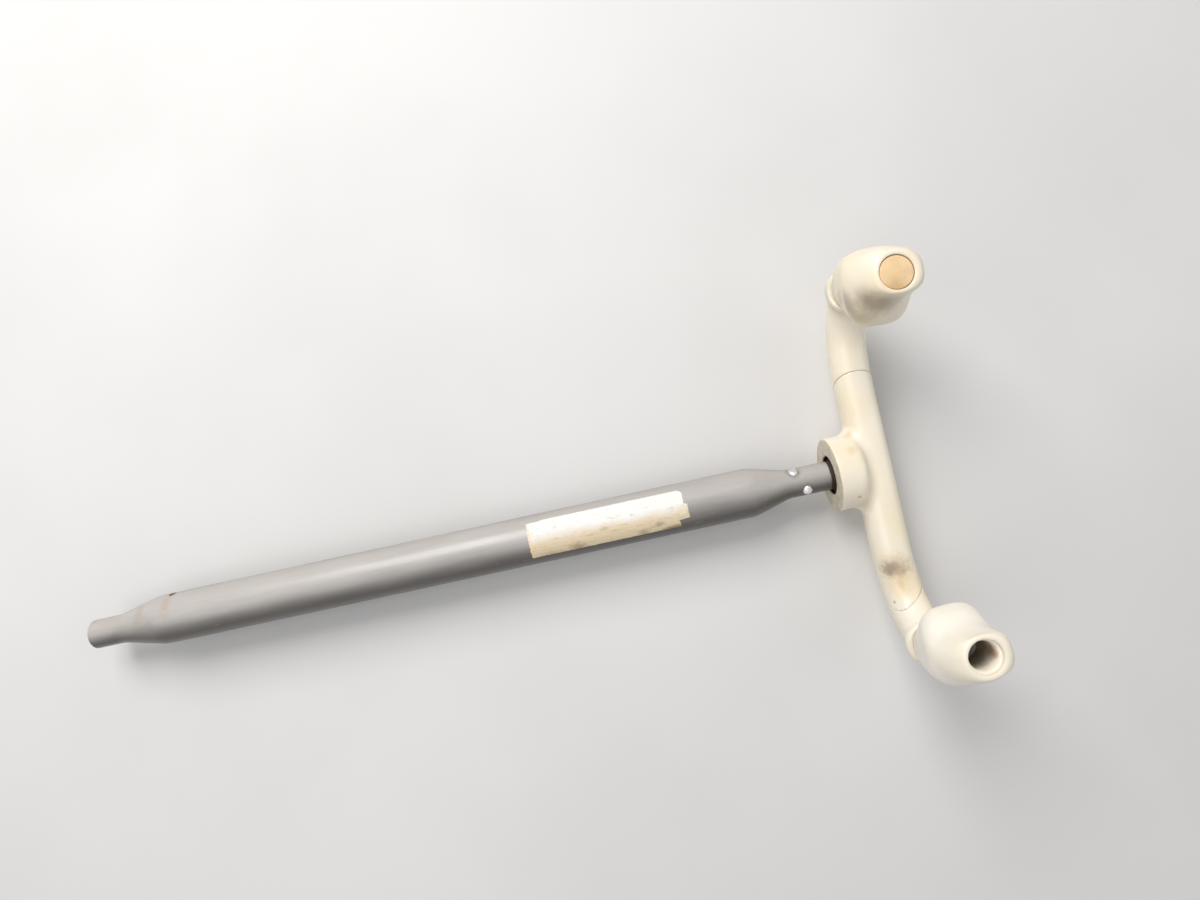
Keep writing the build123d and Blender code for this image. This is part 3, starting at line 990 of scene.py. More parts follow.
@dataclass
class Column:
    """The column tube with its rivets and label."""

    radius: float = 19.05
    bore: float = 17.4
    neck: float = 11.1
    neck_bore: float = 9.0
    hub_face: float = -586.3
    neck_end: float = -603.8
    tail_neck: float = 22.0
    tail_shoulder: float = 56.0
    front_neck: float = 34.0
    front_shoulder: float = 62.0
    swage_blend: float = 30.0
    lip: float = 0.35
    wire_hole: float = 2.8
    wire_hole_setback: float = 68.0
    wire_hole_turn: float = 75.0
    rivet_shank: float = 1.98
    rivet_head: float = 3.9
    rivet_height: float = 1.7
    rivet_turn: float = 52.0
    rear_rivet: float = 28.3
    rivet_pitch: float = 7.6
    label_setback: float = 115.0
    label_length: float = 121.0
    label_arc: float = 89.0
    label_turn: float = 2.5
    label_tab: float = 1.6
    label_step: float = -0.8
    label_tear: float = -6.6
    label_lift: float = 0.06
    label_thickness: float = 0.15
    label_curl: float = 0.05
    face_length: float = 16.0

    def tube(self) -> Piece:
        """Pulls the tube from its tail mouth to the hub and back through its bore.

        Returns:
            The finished tube.
        """
        front = self.hub_face + self.front_neck
        shoulder = self.hub_face + self.front_shoulder
        outer = rounded([(-self.lip, self.neck), (-self.tail_neck, self.neck),
                         (-self.tail_shoulder, self.radius), (shoulder, self.radius),
                         (front, self.neck), (self.neck_end, self.neck)], self.swage_blend, 10)
        inner = rounded([(self.neck_end, self.neck_bore), (front, self.neck_bore),
                         (shoulder, self.bore), (-self.tail_shoulder, self.bore),
                         (-self.tail_neck, self.neck_bore), (-self.lip, self.neck_bore)],
                        self.swage_blend, 8)
        mouth = [(0.0, self.neck_bore + self.lip), (0.0, self.neck - self.lip)]
        straight = self._spread(outer)
        piece = turned("column_tube_shell", straight + inner + mouth, Vector((0, 0, 0)),
                       Vector((0, 1, 0)), 96, loop=True, smooth=35)
        turn = radians(self.wire_hole_turn)
        out = Vector((sin(turn), 0, cos(turn)))
        reach = [(self.bore - 4, self.wire_hole), (self.radius + 3, self.wire_hole)]
        drill = turned("drill", reach, Vector((0, -self.wire_hole_setback, 0)), out, 28)
        cut(piece, drill)
        bpy.ops.object.shade_smooth_by_angle(angle=radians(35))
        return piece

    def _spread(self, outer: Profile) -> Profile:
        """Adds places along the long plain stretch so that its faces stay short.

        Args:
            outer: The tube's outer profile.

        Returns:
            The profile with no stretch much over the face length.
        """
        spread: Profile = []
        for (y0, r0), (y1, r1) in zip(outer, outer[1:]):
            count = max(1, round(abs(y1 - y0) / self.face_length))
            spread += [(y0 + (y1 - y0) * i / count, r0 + (r1 - r0) * i / count)
                       for i in range(count)]
        return spread + [outer[-1]]

    def rivets(self) -> Piece:
        """Sets two crossed rivets with domed heads in the neck.

        Returns:
            Both rivets as one piece.
        """
        rise = [(0.0, 1.0), (0.35, 0.99), (0.62, 0.93), (0.82, 0.8), (0.94, 0.6), (1.0, 0.3)]
        seat = (self.neck ** 2 - self.rivet_head ** 2) ** 0.5 + 0.1
        crown = self.neck + self.rivet_height
        dome = [(seat + (crown - seat) * up, self.rivet_head * wide) for up, wide in rise]
        low = [(-place, wide) for place, wide in reversed(dome)]
        shank = [(-seat, self.rivet_shank), (seat, self.rivet_shank)]
        pieces = []
        rear = self.hub_face + self.rear_rivet
        for y, turn in ((rear, self.rivet_turn), (rear - self.rivet_pitch, self.rivet_turn - 90)):
            angle = radians(turn)
            axis = Vector((sin(angle), 0, cos(angle)))
            pieces.append(turned("neck_rivet", low + shank + dome, Vector((0, y, 0)), axis, 40,
                                 smooth=50))
        take(pieces[0])
        pieces[1].select_set(True)
        bpy.ops.object.join()
        pieces[0].name = "neck_rivet_pair"
        return pieces[0]

    def _torn(self, v: float) -> float:
        """How far the label's torn end reaches towards the hub.

        Args:
            v: The place across the label, from -1 to 1.

        Returns:
            The reach in millimetres.
        """
        if v > 0.56:
            return self.label_tear + (v - 0.56) * 2.5
        if v < -0.17:
            return self.label_step - 3.0 * max(0.0, -0.84 - v) / 0.16
        return self.label_tab

    def label(self) -> Piece:
        """Wraps the paper label round the tube, with a ragged end and a torn second layer.

        Returns:
            The finished label.
        """
        deselect_all()
        across, along = 40, 96
        bpy.ops.mesh.primitive_grid_add(x_subdivisions=along, y_subdivisions=across, size=2)
        piece = bpy.context.active_object
        piece.name = "column_label"
        start = self.hub_face + self.label_setback
        middle = radians(self.label_turn)
        half = radians(self.label_arc) / 2
        for vertex in piece.data.vertices:
            u, v = (vertex.co.x + 1) / 2, vertex.co.y
            ragged = (noise.noise(Vector((v * 9, 3.1, 0)))
                      + noise.noise(Vector((v * 31, 7.7, 0))) * 0.6)
            torn = self._torn(v) + ragged * 0.6
            near = start - torn
            far = start + self.label_length + noise.noise(Vector((v * 6, 11.0, 0))) * 0.8
            y = near + (far - near) * u
            side = 1.0 + noise.noise(Vector((u * 30, copysign(4.0, v), 5.0))) * 0.02
            if v > 0:
                side += noise.noise(Vector((u * 60, 9.0, 5.0))) * 0.02
            elif u > 0.9:
                side -= 0.06 * min(1.0, (u - 0.9) / 0.012)
            angle = middle - half * side * v
            curl = max(0.0, noise.noise(Vector((u * 22, v * 5, 1.0)))) * self.label_curl
            reach = self.radius + self.label_lift + curl
            vertex.co = Vector((sin(angle) * reach, y, cos(angle) * reach)) * MM
        take(piece)
        bpy.ops.object.mode_set(mode="EDIT")
        bpy.ops.mesh.select_all(action="SELECT")
        bpy.ops.mesh.normals_make_consistent(inside=False)
        bpy.ops.object.mode_set(mode="OBJECT")
        centre = sum((v.co for v in piece.data.vertices), Vector()) / len(piece.data.vertices)
        if piece.data.polygons[0].normal.dot(Vector((centre.x, 0, centre.z))) < 0:
            piece.data.flip_normals()
        modify(piece, "SOLIDIFY", thickness=self.label_thickness * MM, offset=1)
        bpy.ops.object.shade_smooth_by_angle(angle=radians(40))
        return piece


@dataclass
class Section:
    """A place along the arm: its centre and the directions to the tail, up and ahead."""

    centre: Vector
    tail: Vector
    up: Vector
    ahead: Vector


@dataclass
class ArmPath:
    """The right arm's centre line: out, a little to the pilot, and then up."""

    hub_face: float = -586.3
    setback: float = 33.0
    sweep_start: float = 68.5
    sweep_radius: float = 110.0
    sweep_angle: float = 4.0
    straight: float = 11.5
    rise_radius: float = 46.0
    collar_angle: float = 71.0

    @property
    def rise_start(self) -> float:
        """The length at which the arm begins to rise."""
        return self.sweep_start + radians(self.sweep_angle) * self.sweep_radius + self.straight

    @property
    def collar_at(self) -> float:
        """The length at which the collar ends and the horn begins."""
        return self.rise_start + radians(self.collar_angle) * self.rise_radius

    @property
    def spar_end(self) -> float:
        """The length at which the spar ends inside the horn."""
        return self.rise_start + radians(90) * self.rise_radius

    def at(self, length: float) -> Section:
        """The section at a length along the centre line.

        Args:
            length: Millimetres from the column axis.

        Returns:
            The section there.
        """
        centre = Vector((0, self.hub_face - self.setback, 0))
        tail, up, ahead = Vector((0, 1, 0)), Vector((0, 0, 1)), Vector((1, 0, 0))
        first = min(length, self.sweep_start)
        centre = centre + ahead * first
        length -= first
        turn = min(length / self.sweep_radius, radians(self.sweep_angle))
        centre = centre + (ahead * sin(turn) - tail * (1 - cos(turn))) * self.sweep_radius
        tail, ahead = tail * cos(turn) + ahead * sin(turn), ahead * cos(turn) - tail * sin(turn)
        length -= turn * self.sweep_radius
        step = min(length, self.straight)
        centre = centre + ahead * step
        length -= step
        turn = length / self.rise_radius
        centre = centre + (ahead * sin(turn) + up * (1 - cos(turn))) * self.rise_radius
        ahead, up = ahead * cos(turn) + up * sin(turn), up * cos(turn) - ahead * sin(turn)
        return Section(centre, tail, up, ahead)


def oval_point(section: Section, reaches: tuple[float, ...], power: float, turn: float) -> Vector:
    """One point of a smooth closed ring with its own reach each way.

    Args:
        section: Where the ring lies.
        reaches: Reach to the tail, up or inboard, to the pilot, and down or outboard.
        power: 2 for an ellipse and more for a squarer ring.
        turn: The point's angle from the tail.

    Returns:
        The point in millimetres.
    """
    tail, up, pilot, down = reaches
    c, s = cos(turn), sin(turn)
    wide, high = tail if c > 0 else pilot, up if s > 0 else down
    reach = (abs(c / wide) ** power + abs(s / high) ** power) ** (-1 / power)
    return section.centre + (section.tail * c + section.up * s) * reach


def oval(section: Section, reaches: tuple[float, ...], power: float, count: int) -> Ring:
    """A smooth closed ring of such points."""
    return [oval_point(section, reaches, power, 2 * pi * i / count) for i in range(count)]


@dataclass
class Wheel:
    """The cast hub, the moulded arms and the horns."""

    path: ArmPath
    half_depth: float = 14.1
    half_height: float = 15.5
    power: float = 2.3
    channel: float = 8.05
    right_seam: Triple = (66.8, 3.9, 25.0)
    left_seam: Triple = (100.5, 27.8, 10.5)
    seam_gap: float = -0.12
    seam_edge: float = 0.2
    bead_rise: float = 3.6
    bead_inboard_share: float = 0.3
    bead_length: float = 7.0
    horn_top: float = 108.0
    horn_width: float = 49.0
    horn_depth: float = 49.5
    seat_power: float = 2.2
    socket_out: float = 123.6
    socket_setback: float = 40.1
    rim_blend: float = 1.6
    mouth: float = 11.4
    mouth_depth: float = 4.0
    socket: float = 9.7
    socket_depth: float = 34.0
    round_count: int = 72
    sleeve_steps: int = 30
    channel_steps: int = 12
    seam_rounds: int = 12
    horn_steps: int = 30
    horn_shares: tuple[tuple[float, ...], ...] = (
        (0.200, 0.490, 0.500, 0.345, 0.510, 2.60),
        (0.420, 0.615, 0.480, 0.400, 0.510, 3.00),
        (0.580, 0.540, 0.464, 0.455, 0.460, 2.62),
        (0.720, 0.403, 0.432, 0.434, 0.440, 2.00),
        (0.860, 0.318, 0.372, 0.385, 0.430, 2.33),
        (0.950, 0.288, 0.322, 0.330, 0.380, 2.60),
        (1.000, 0.286, 0.302, 0.274, 0.300, 2.10),
    )

    def casting(self) -> Piece:
        """Gives the cast hub and its arm roots an even skin with soft cast edges."""
        return smoothed_copy("wheel_casting", "wheel_casting_skin", 0.75, 6)

    def cap(self) -> Piece:
        """Gives the plain cap over the nut the same skin."""
        return smoothed_copy("hub_cap", "hub_cap_skin", 0.3, 3)

    def _arm_reaches(self, extra: float) -> tuple[float, ...]:
        """The arm's reach each way, grown by an extra."""
        depth, height = self.half_depth + extra, self.half_height + extra
        return depth, height, depth, height

    def _arm_ring(self, at: float, extra: float) -> Ring:
        """A ring of the arm's section at a length, grown by an extra."""
        return oval(self.path.at(at), self._arm_reaches(extra), self.power, self.round_count)

    def _bead_ring(self, at: float, rise: float) -> Ring:
        """A ring of the collar's bead, which is lower on the side of the palm.

        Args:
            at: The length along the arm.
            rise: The bead's height in millimetres.

        Returns:
            The ring in millimetres.
        """
        depth, height = self.half_depth + rise, self.half_height + rise
        inboard = self.half_height + rise * self.bead_inboard_share
        return oval(self.path.at(at), (depth, inboard, depth, height), self.power,
                    self.round_count)

    def _seam_lengths(self, seam: Triple, shift: float, extra: float) -> list[float]:
        """The length along the arm at which each line of the skin meets a seam's plane.

        Args:
            seam: The seam's length along the arm, its skew in plan and its lean, in degrees.
            shift: How far past the seam's plane, in millimetres.
            extra: How much the section is grown.

        Returns:
            One length for each point of the ring.
        """
        at, skew, lean = seam[0], radians(seam[1]), radians(seam[2])
        normal = Vector((cos(skew) * cos(lean), -sin(skew) * cos(lean), -sin(lean)))
        origin = self.path.at(at).centre + normal * shift
        lengths = []
        for i in range(self.round_count):
            length = at
            for _ in range(self.seam_rounds):
                length -= (self._arm_point(length, extra, i) - origin).dot(normal) * 0.9
            lengths.append(length)
        return lengths

    def _arm_point(self, at: float, extra: float, i: int) -> Vector:
        """One point of the arm's section at a length, grown by an extra."""
        return oval_point(self.path.at(at), self._arm_reaches(extra), self.power,
                          2 * pi * i / self.round_count)

    def sleeve(self, seam: Triple, name: str) -> Piece:
        """Pulls a moulded arm from its seam to the beaded collar.

        Args:
            seam: The seam's length along the arm, its skew in plan and its lean, in degrees.
            name: The piece's name.

        Returns:
            The right-hand sleeve.
        """
        path, gap, edge, count = self.path, self.seam_gap, self.seam_edge, self.round_count
        bead_start = path.collar_at - self.bead_length
        rings = []
        for shift, extra in ((gap, -edge), (gap + edge * 0.3, -edge * 0.3), (gap + edge, 0.0)):
            lengths = self._seam_lengths(seam, shift, extra)
            rings.append([self._arm_point(lengths[i], extra, i) for i in range(count)])
        steps = self.sleeve_steps
        for k in range(1, steps + 1):
            rings.append([self._arm_point(at + (bead_start - 1.2 - at) * k / steps, 0.0, i)
                          for i, at in enumerate(lengths)])
        swell = ((-0.5, 0.12), (0.1, 0.5), (0.5, 0.7), (1.1, 0.88), (2.1, 1.0), (3.6, 1.0),
                 (5.2, 0.97), (6.2, 0.86), (6.8, 0.62))
        for step, share in swell:
            rings.append(self._bead_ring(bead_start + step, self.bead_rise * share))
        rings.append(self._bead_ring(path.collar_at, self.bead_rise * 0.3))
        rings.append(self._arm_ring(path.collar_at, -self.half_depth * 0.2))
        inner = self._seam_lengths(seam, gap, self.channel - self.half_height)
        for k in range(self.channel_steps + 1):
            ring = []
            for i, at in enumerate(inner):
                section = path.at(path.collar_at + (at - path.collar_at) * k / self.channel_steps)
                turn = 2 * pi * i / count
                around = section.tail * cos(turn) + section.up * sin(turn)
                ring.append(section.centre + around * self.channel)
            rings.append(ring)
        skin = Skin.through(name, rings)
        skin.join_ends()
        return skin.finish(45)

    def _eased(self, share: float) -> list[float]:
        """The horn's reaches and power on a curve without overshoot.

        Args:
            share: The share of the horn's height.

        Returns:
            Reach inboard, outboard, to the tail and to the pilot as shares of the horn's width
            and depth, and then the power.
        """
        half = (self.half_height / self.horn_width, self.half_depth / self.horn_depth)
        rows = ((0.0, half[0], half[0], half[1], half[1], self.seat_power),) + self.horn_shares
        k = next(i for i in range(1, len(rows)) if share <= rows[i][0] or i == len(rows) - 1)
        low, high = rows[k - 1], rows[k]
        before, after = rows[max(k - 2, 0)], rows[min(k + 1, len(rows) - 1)]
        width = high[0] - low[0]
        t = (share - low[0]) / width
        values = []
        for i in range(1, 6):
            slope = (high[i] - low[i]) / width
            enter = (low[i] - before[i]) / (low[0] - before[0]) if before is not low else slope
            leave = (after[i] - high[i]) / (after[0] - high[0]) if after is not high else slope
            bends = [2 * slope * o / (slope + o) if slope * o > 0 else 0 for o in (enter, leave)]
            values.append(low[i] * (1 + 2 * t) * (1 - t) ** 2 + high[i] * t * t * (3 - 2 * t)
                          + bends[0] * width * t * (1 - t) ** 2
                          + bends[1] * width * t * t * (t - 1))
        return values

    def _horn_ring(self, share: float, inset: float = 0.0) -> Ring:
        """A ring of the horn's skin.

        Args:
            share: The share of the horn's height.
            inset: How far the ring is drawn in, in millimetres.

        Returns:
            The ring in millimetres.
        """
        seat = self.path.at(self.path.collar_at)
        top = Vector((self.socket_out, self.path.hub_face - self.socket_setback, self.horn_top))
        inboard, outboard, tail, pilot, power = self._eased(share)
        lean = max(0.0, 1 - share * 2)
        ahead = (seat.ahead * lean + Vector((0, 0, 1)) * (1 - lean)).normalized()
        tail_way = (seat.tail - ahead * seat.tail.dot(ahead)).normalized()
        section = Section(seat.centre + (top - seat.centre) * share, tail_way,
                          ahead.cross(tail_way), ahead)
        reaches = (tail * self.horn_depth - inset, inboard * self.horn_width - inset,
                   pilot * self.horn_depth - inset, outboard * self.horn_width - inset)
        return oval(section, reaches, power, self.round_count)

    def horn(self, name: str) -> Piece:
        """Pulls the right horn from its seat to the rim and down into its stepped socket.

        Args:
            name: The piece's name.

        Returns:
            The right-hand horn.
        """
        path = self.path
        rings = []
        for at in (path.spar_end, path.collar_at + 0.1):
            section = path.at(at)
            rings.append(circle(section.centre, section.tail, section.up, self.channel,
                                self.round_count))
        rings.append(self._horn_ring(0.001, 1.6))
        rings.append(self._horn_ring(0.006, 0.5))
        height = self.horn_top - path.at(path.collar_at).centre.z
        body = 1 - self.rim_blend / height
        for i in range(1, self.horn_steps):
            rings.append(self._horn_ring(body * i / (self.horn_steps - 1)))
        for turn in (radians(t) for t in (18, 36, 54, 72, 90)):
            drop, inset = self.rim_blend * (1 - sin(turn)), self.rim_blend * (1 - cos(turn))
            rings.append(self._horn_ring(1 - drop / height, inset))
        top = self.horn_top
        down = ((0.0, self.mouth + 0.25), (0.25, self.mouth), (1.6, self.mouth),
                (self.mouth_depth - 0.3, self.mouth), (self.mouth_depth, self.mouth - 0.3),
                (self.mouth_depth, self.socket + 0.35), (self.mouth_depth + 0.35, self.socket),
                (14.0, self.socket), (self.socket_depth - 0.4, self.socket),
                (self.socket_depth, self.socket - 0.4), (self.socket_depth, 3.1),
                (self.socket_depth + 5, 3.0))
        middle = Vector((self.socket_out, path.hub_face - self.socket_setback, 0))
        for depth, radius in down:
            rings.append(circle(middle + Vector((0, 0, top - depth)), Vector((0, 1, 0)),
                                Vector((-1, 0, 0)), radius, self.round_count))
        skin = Skin.through(name, rings)
        skin.fill()
        skin.fill_start()
        return skin.finish(48)


@dataclass
class TalkButton:
    """The flush disc in the right horn's socket."""

    out: float = 123.6
    y: float = -626.4
    top: float = 108.0
    radius: float = 10.9
    thickness: float = 2.2
    dome: float = 0.8
    spring_seat: tuple[float, float] = (3.6, 6.4)
    seat_depth: float = 1.6

    def cap(self) -> Piece:
        """Turns the disc with a faintly domed face and room under it for the spring.

        Returns:
            The finished disc.
        """
        foot = self.top - self.thickness
        r, (inner, outer), seat = self.radius, self.spring_seat, foot + self.seat_depth
        profile = [(foot, inner), (seat, inner + 0.15), (seat, outer - 0.15), (foot, outer),
                   (foot, r - 0.3), (foot + 0.3, r), (self.top - self.dome - 0.45, r),
                   (self.top - self.dome - 0.15, r - 0.12), (self.top - self.dome, r - 0.4)]
        profile += [(self.top - self.dome * share ** 2, (r - 0.4) * share)
                    for share in (0.94, 0.86, 0.76, 0.64, 0.5, 0.36, 0.22, 0.1, 0.03)]
        return turned("talk_button_disc", profile, Vector((self.out, self.y, 0)),
                      Vector((0, 0, 1)), 72, smooth=50)


@dataclass
class Studio:
    """The floor, the lights and the camera at the photograph's angle."""

    camera_at: Triple = (0.0396, -0.4274, 0.5748)
    right: Triple = (-0.213147, -0.976735, -0.023593)
    up: Triple = (0.976553, -0.213730, 0.025779)
    lens: float = 22.14
    floor_drop: float = 0.030
    floor_size: float = 6.0

    def camera(self) -> None:
        """Places the camera where the photograph was taken from."""
        data = bpy.data.cameras.new("camera")
        data.lens = self.lens
        data.sensor_width = 36.0
        data.clip_start = 0.01
        camera = bpy.data.objects.new("camera", data)
        right, up = Vector(self.right).normalized(), Vector(self.up).normalized()
        back = right.cross(up).normalized()
        turn = Matrix((right, up, back)).transposed().to_4x4()
        camera.matrix_world = Matrix.Translation(Vector(self.camera_at)) @ turn
        bpy.context.scene.collection.objects.link(camera)
        bpy.context.scene.camera = camera

    def floor(self) -> None:
        """Lays a plain pale floor under the wheel that is clear from below."""
        deselect_all()
        bpy.ops.mesh.primitive_plane_add(size=self.floor_size, location=(0, -0.3, -self.floor_drop))
        floor = bpy.context.active_object
        floor.name = "floor"
        material, bench, shader, place = start_material("pale_floor")
        tone = bench.span(bench.clouds(place, 300, 3), 0.3, 0.7)
        bench.join(bench.blend(tone, (0.66, 0.65, 0.64), (0.70, 0.69, 0.68)),
                   shader.inputs["Base Color"])
        shader.inputs["Roughness"].default_value = 0.8
        clear = bench.add("ShaderNodeBsdfTransparent")
        side = bench.add("ShaderNodeNewGeometry")
        mixed = bench.mix_shaders(side.outputs["Backfacing"], shader.outputs[0], clear.outputs[0])
        out = next(n for n in material.node_tree.nodes if n.type == "OUTPUT_MATERIAL")
        bench.join(mixed, out.inputs["Surface"])
        floor.data.materials.append(material)

    def lamp(self, name: str, place: Triple, aim: Triple,
             size: float, power: float, tint: Triple) -> None:
        """Hangs one soft square lamp.

        Args:
            name: The lamp's name.
            place: Where it hangs, in metres.
            aim: The point that it faces.
            size: Its side in metres.
            power: Its power in watts.
            tint: Its colour.
        """
        data = bpy.data.lights.new(name, "AREA")
        data.shape = "SQUARE"
        data.size = size
        data.energy = power
        data.color = tint
        lamp = bpy.data.objects.new(name, data)
        lamp.location = place
        lamp.rotation_mode = "QUATERNION"
        lamp.rotation_quaternion = (Vector(aim) - Vector(place)).to_track_quat("-Z", "Y")
        bpy.context.scene.collection.objects.link(lamp)

    def lights(self) -> None:
        """Sets a large key lamp, a weak fill and a pale even surround."""
        centre = (0.0, -0.35, 0.0)
        self.lamp("key", (1.02, -0.05, 1.15), centre, 0.9, 20.7, (1.0, 0.985, 0.965))
        self.lamp("top", (-0.15, 0.30, 1.35), centre, 1.1, 6.0, (1.0, 0.99, 0.98))
        self.lamp("fill", (-1.2, -0.8, 0.9), centre, 1.2, 1.5, (0.96, 0.98, 1.0))
        self.lamp("front", (0.2, -1.9, 0.8), centre, 1.2, 4.0, (1.0, 0.99, 0.975))
        world = bpy.data.worlds.new("surround")
        world.use_nodes = True
        bpy.context.scene.world = world
        world.node_tree.nodes.clear()
        bench = Bench(world.node_tree)
        out = bench.add("ShaderNodeOutputWorld")
        soft = bench.add("ShaderNodeBackground")
        soft.inputs["Color"].default_value = (0.95, 0.97, 1.0, 1)
        soft.inputs["Strength"].default_value = 0.32
        seen = bench.add("ShaderNodeBackground")
        seen.inputs["Color"].default_value = (0.86, 0.86, 0.86, 1)
        seen.inputs["Strength"].default_value = 1.0
        path = bench.add("ShaderNodeLightPath")
        direct = bench.math("MAXIMUM", path.outputs["Is Camera Ray"], path.outputs["Is Glossy Ray"])
        direct = bench.math("MAXIMUM", direct, path.outputs["Is Transmission Ray"])
        bench.join(bench.mix_shaders(direct, soft.outputs[0], seen.outputs[0]),
                   out.inputs["Surface"])
        bpy.context.scene.view_settings.view_transform = "Standard"


def dress(piece: Piece, material: bpy.types.Material) -> None:
    """Gives a piece one material in place of all it had.

    Args:
        piece: The piece or CAD node.
        material: Its finish.
    """
    if piece.data.materials:
        for i in range(len(piece.data.materials)):
            piece.material_slots[i].material = material
    else:
        piece.data.materials.append(material)


def seat(piece: Piece, material: bpy.types.Material, body: Body, slot: str,
         *nodes: str) -> None:
    """Dresses a new piece, makes it ride on its body and hides the CAD nodes that it replaces.

    Args:
        piece: The new piece.
        material: Its finish.
        body: The body that carries it.
        slot: Not used.
        nodes: The CAD nodes that it replaces.
    """
    dress(piece, material)
    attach(piece, body.value)
    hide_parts(*nodes)
    log.info("%s: %d faces, rides on %s", piece.name, len(piece.data.polygons), body.value)


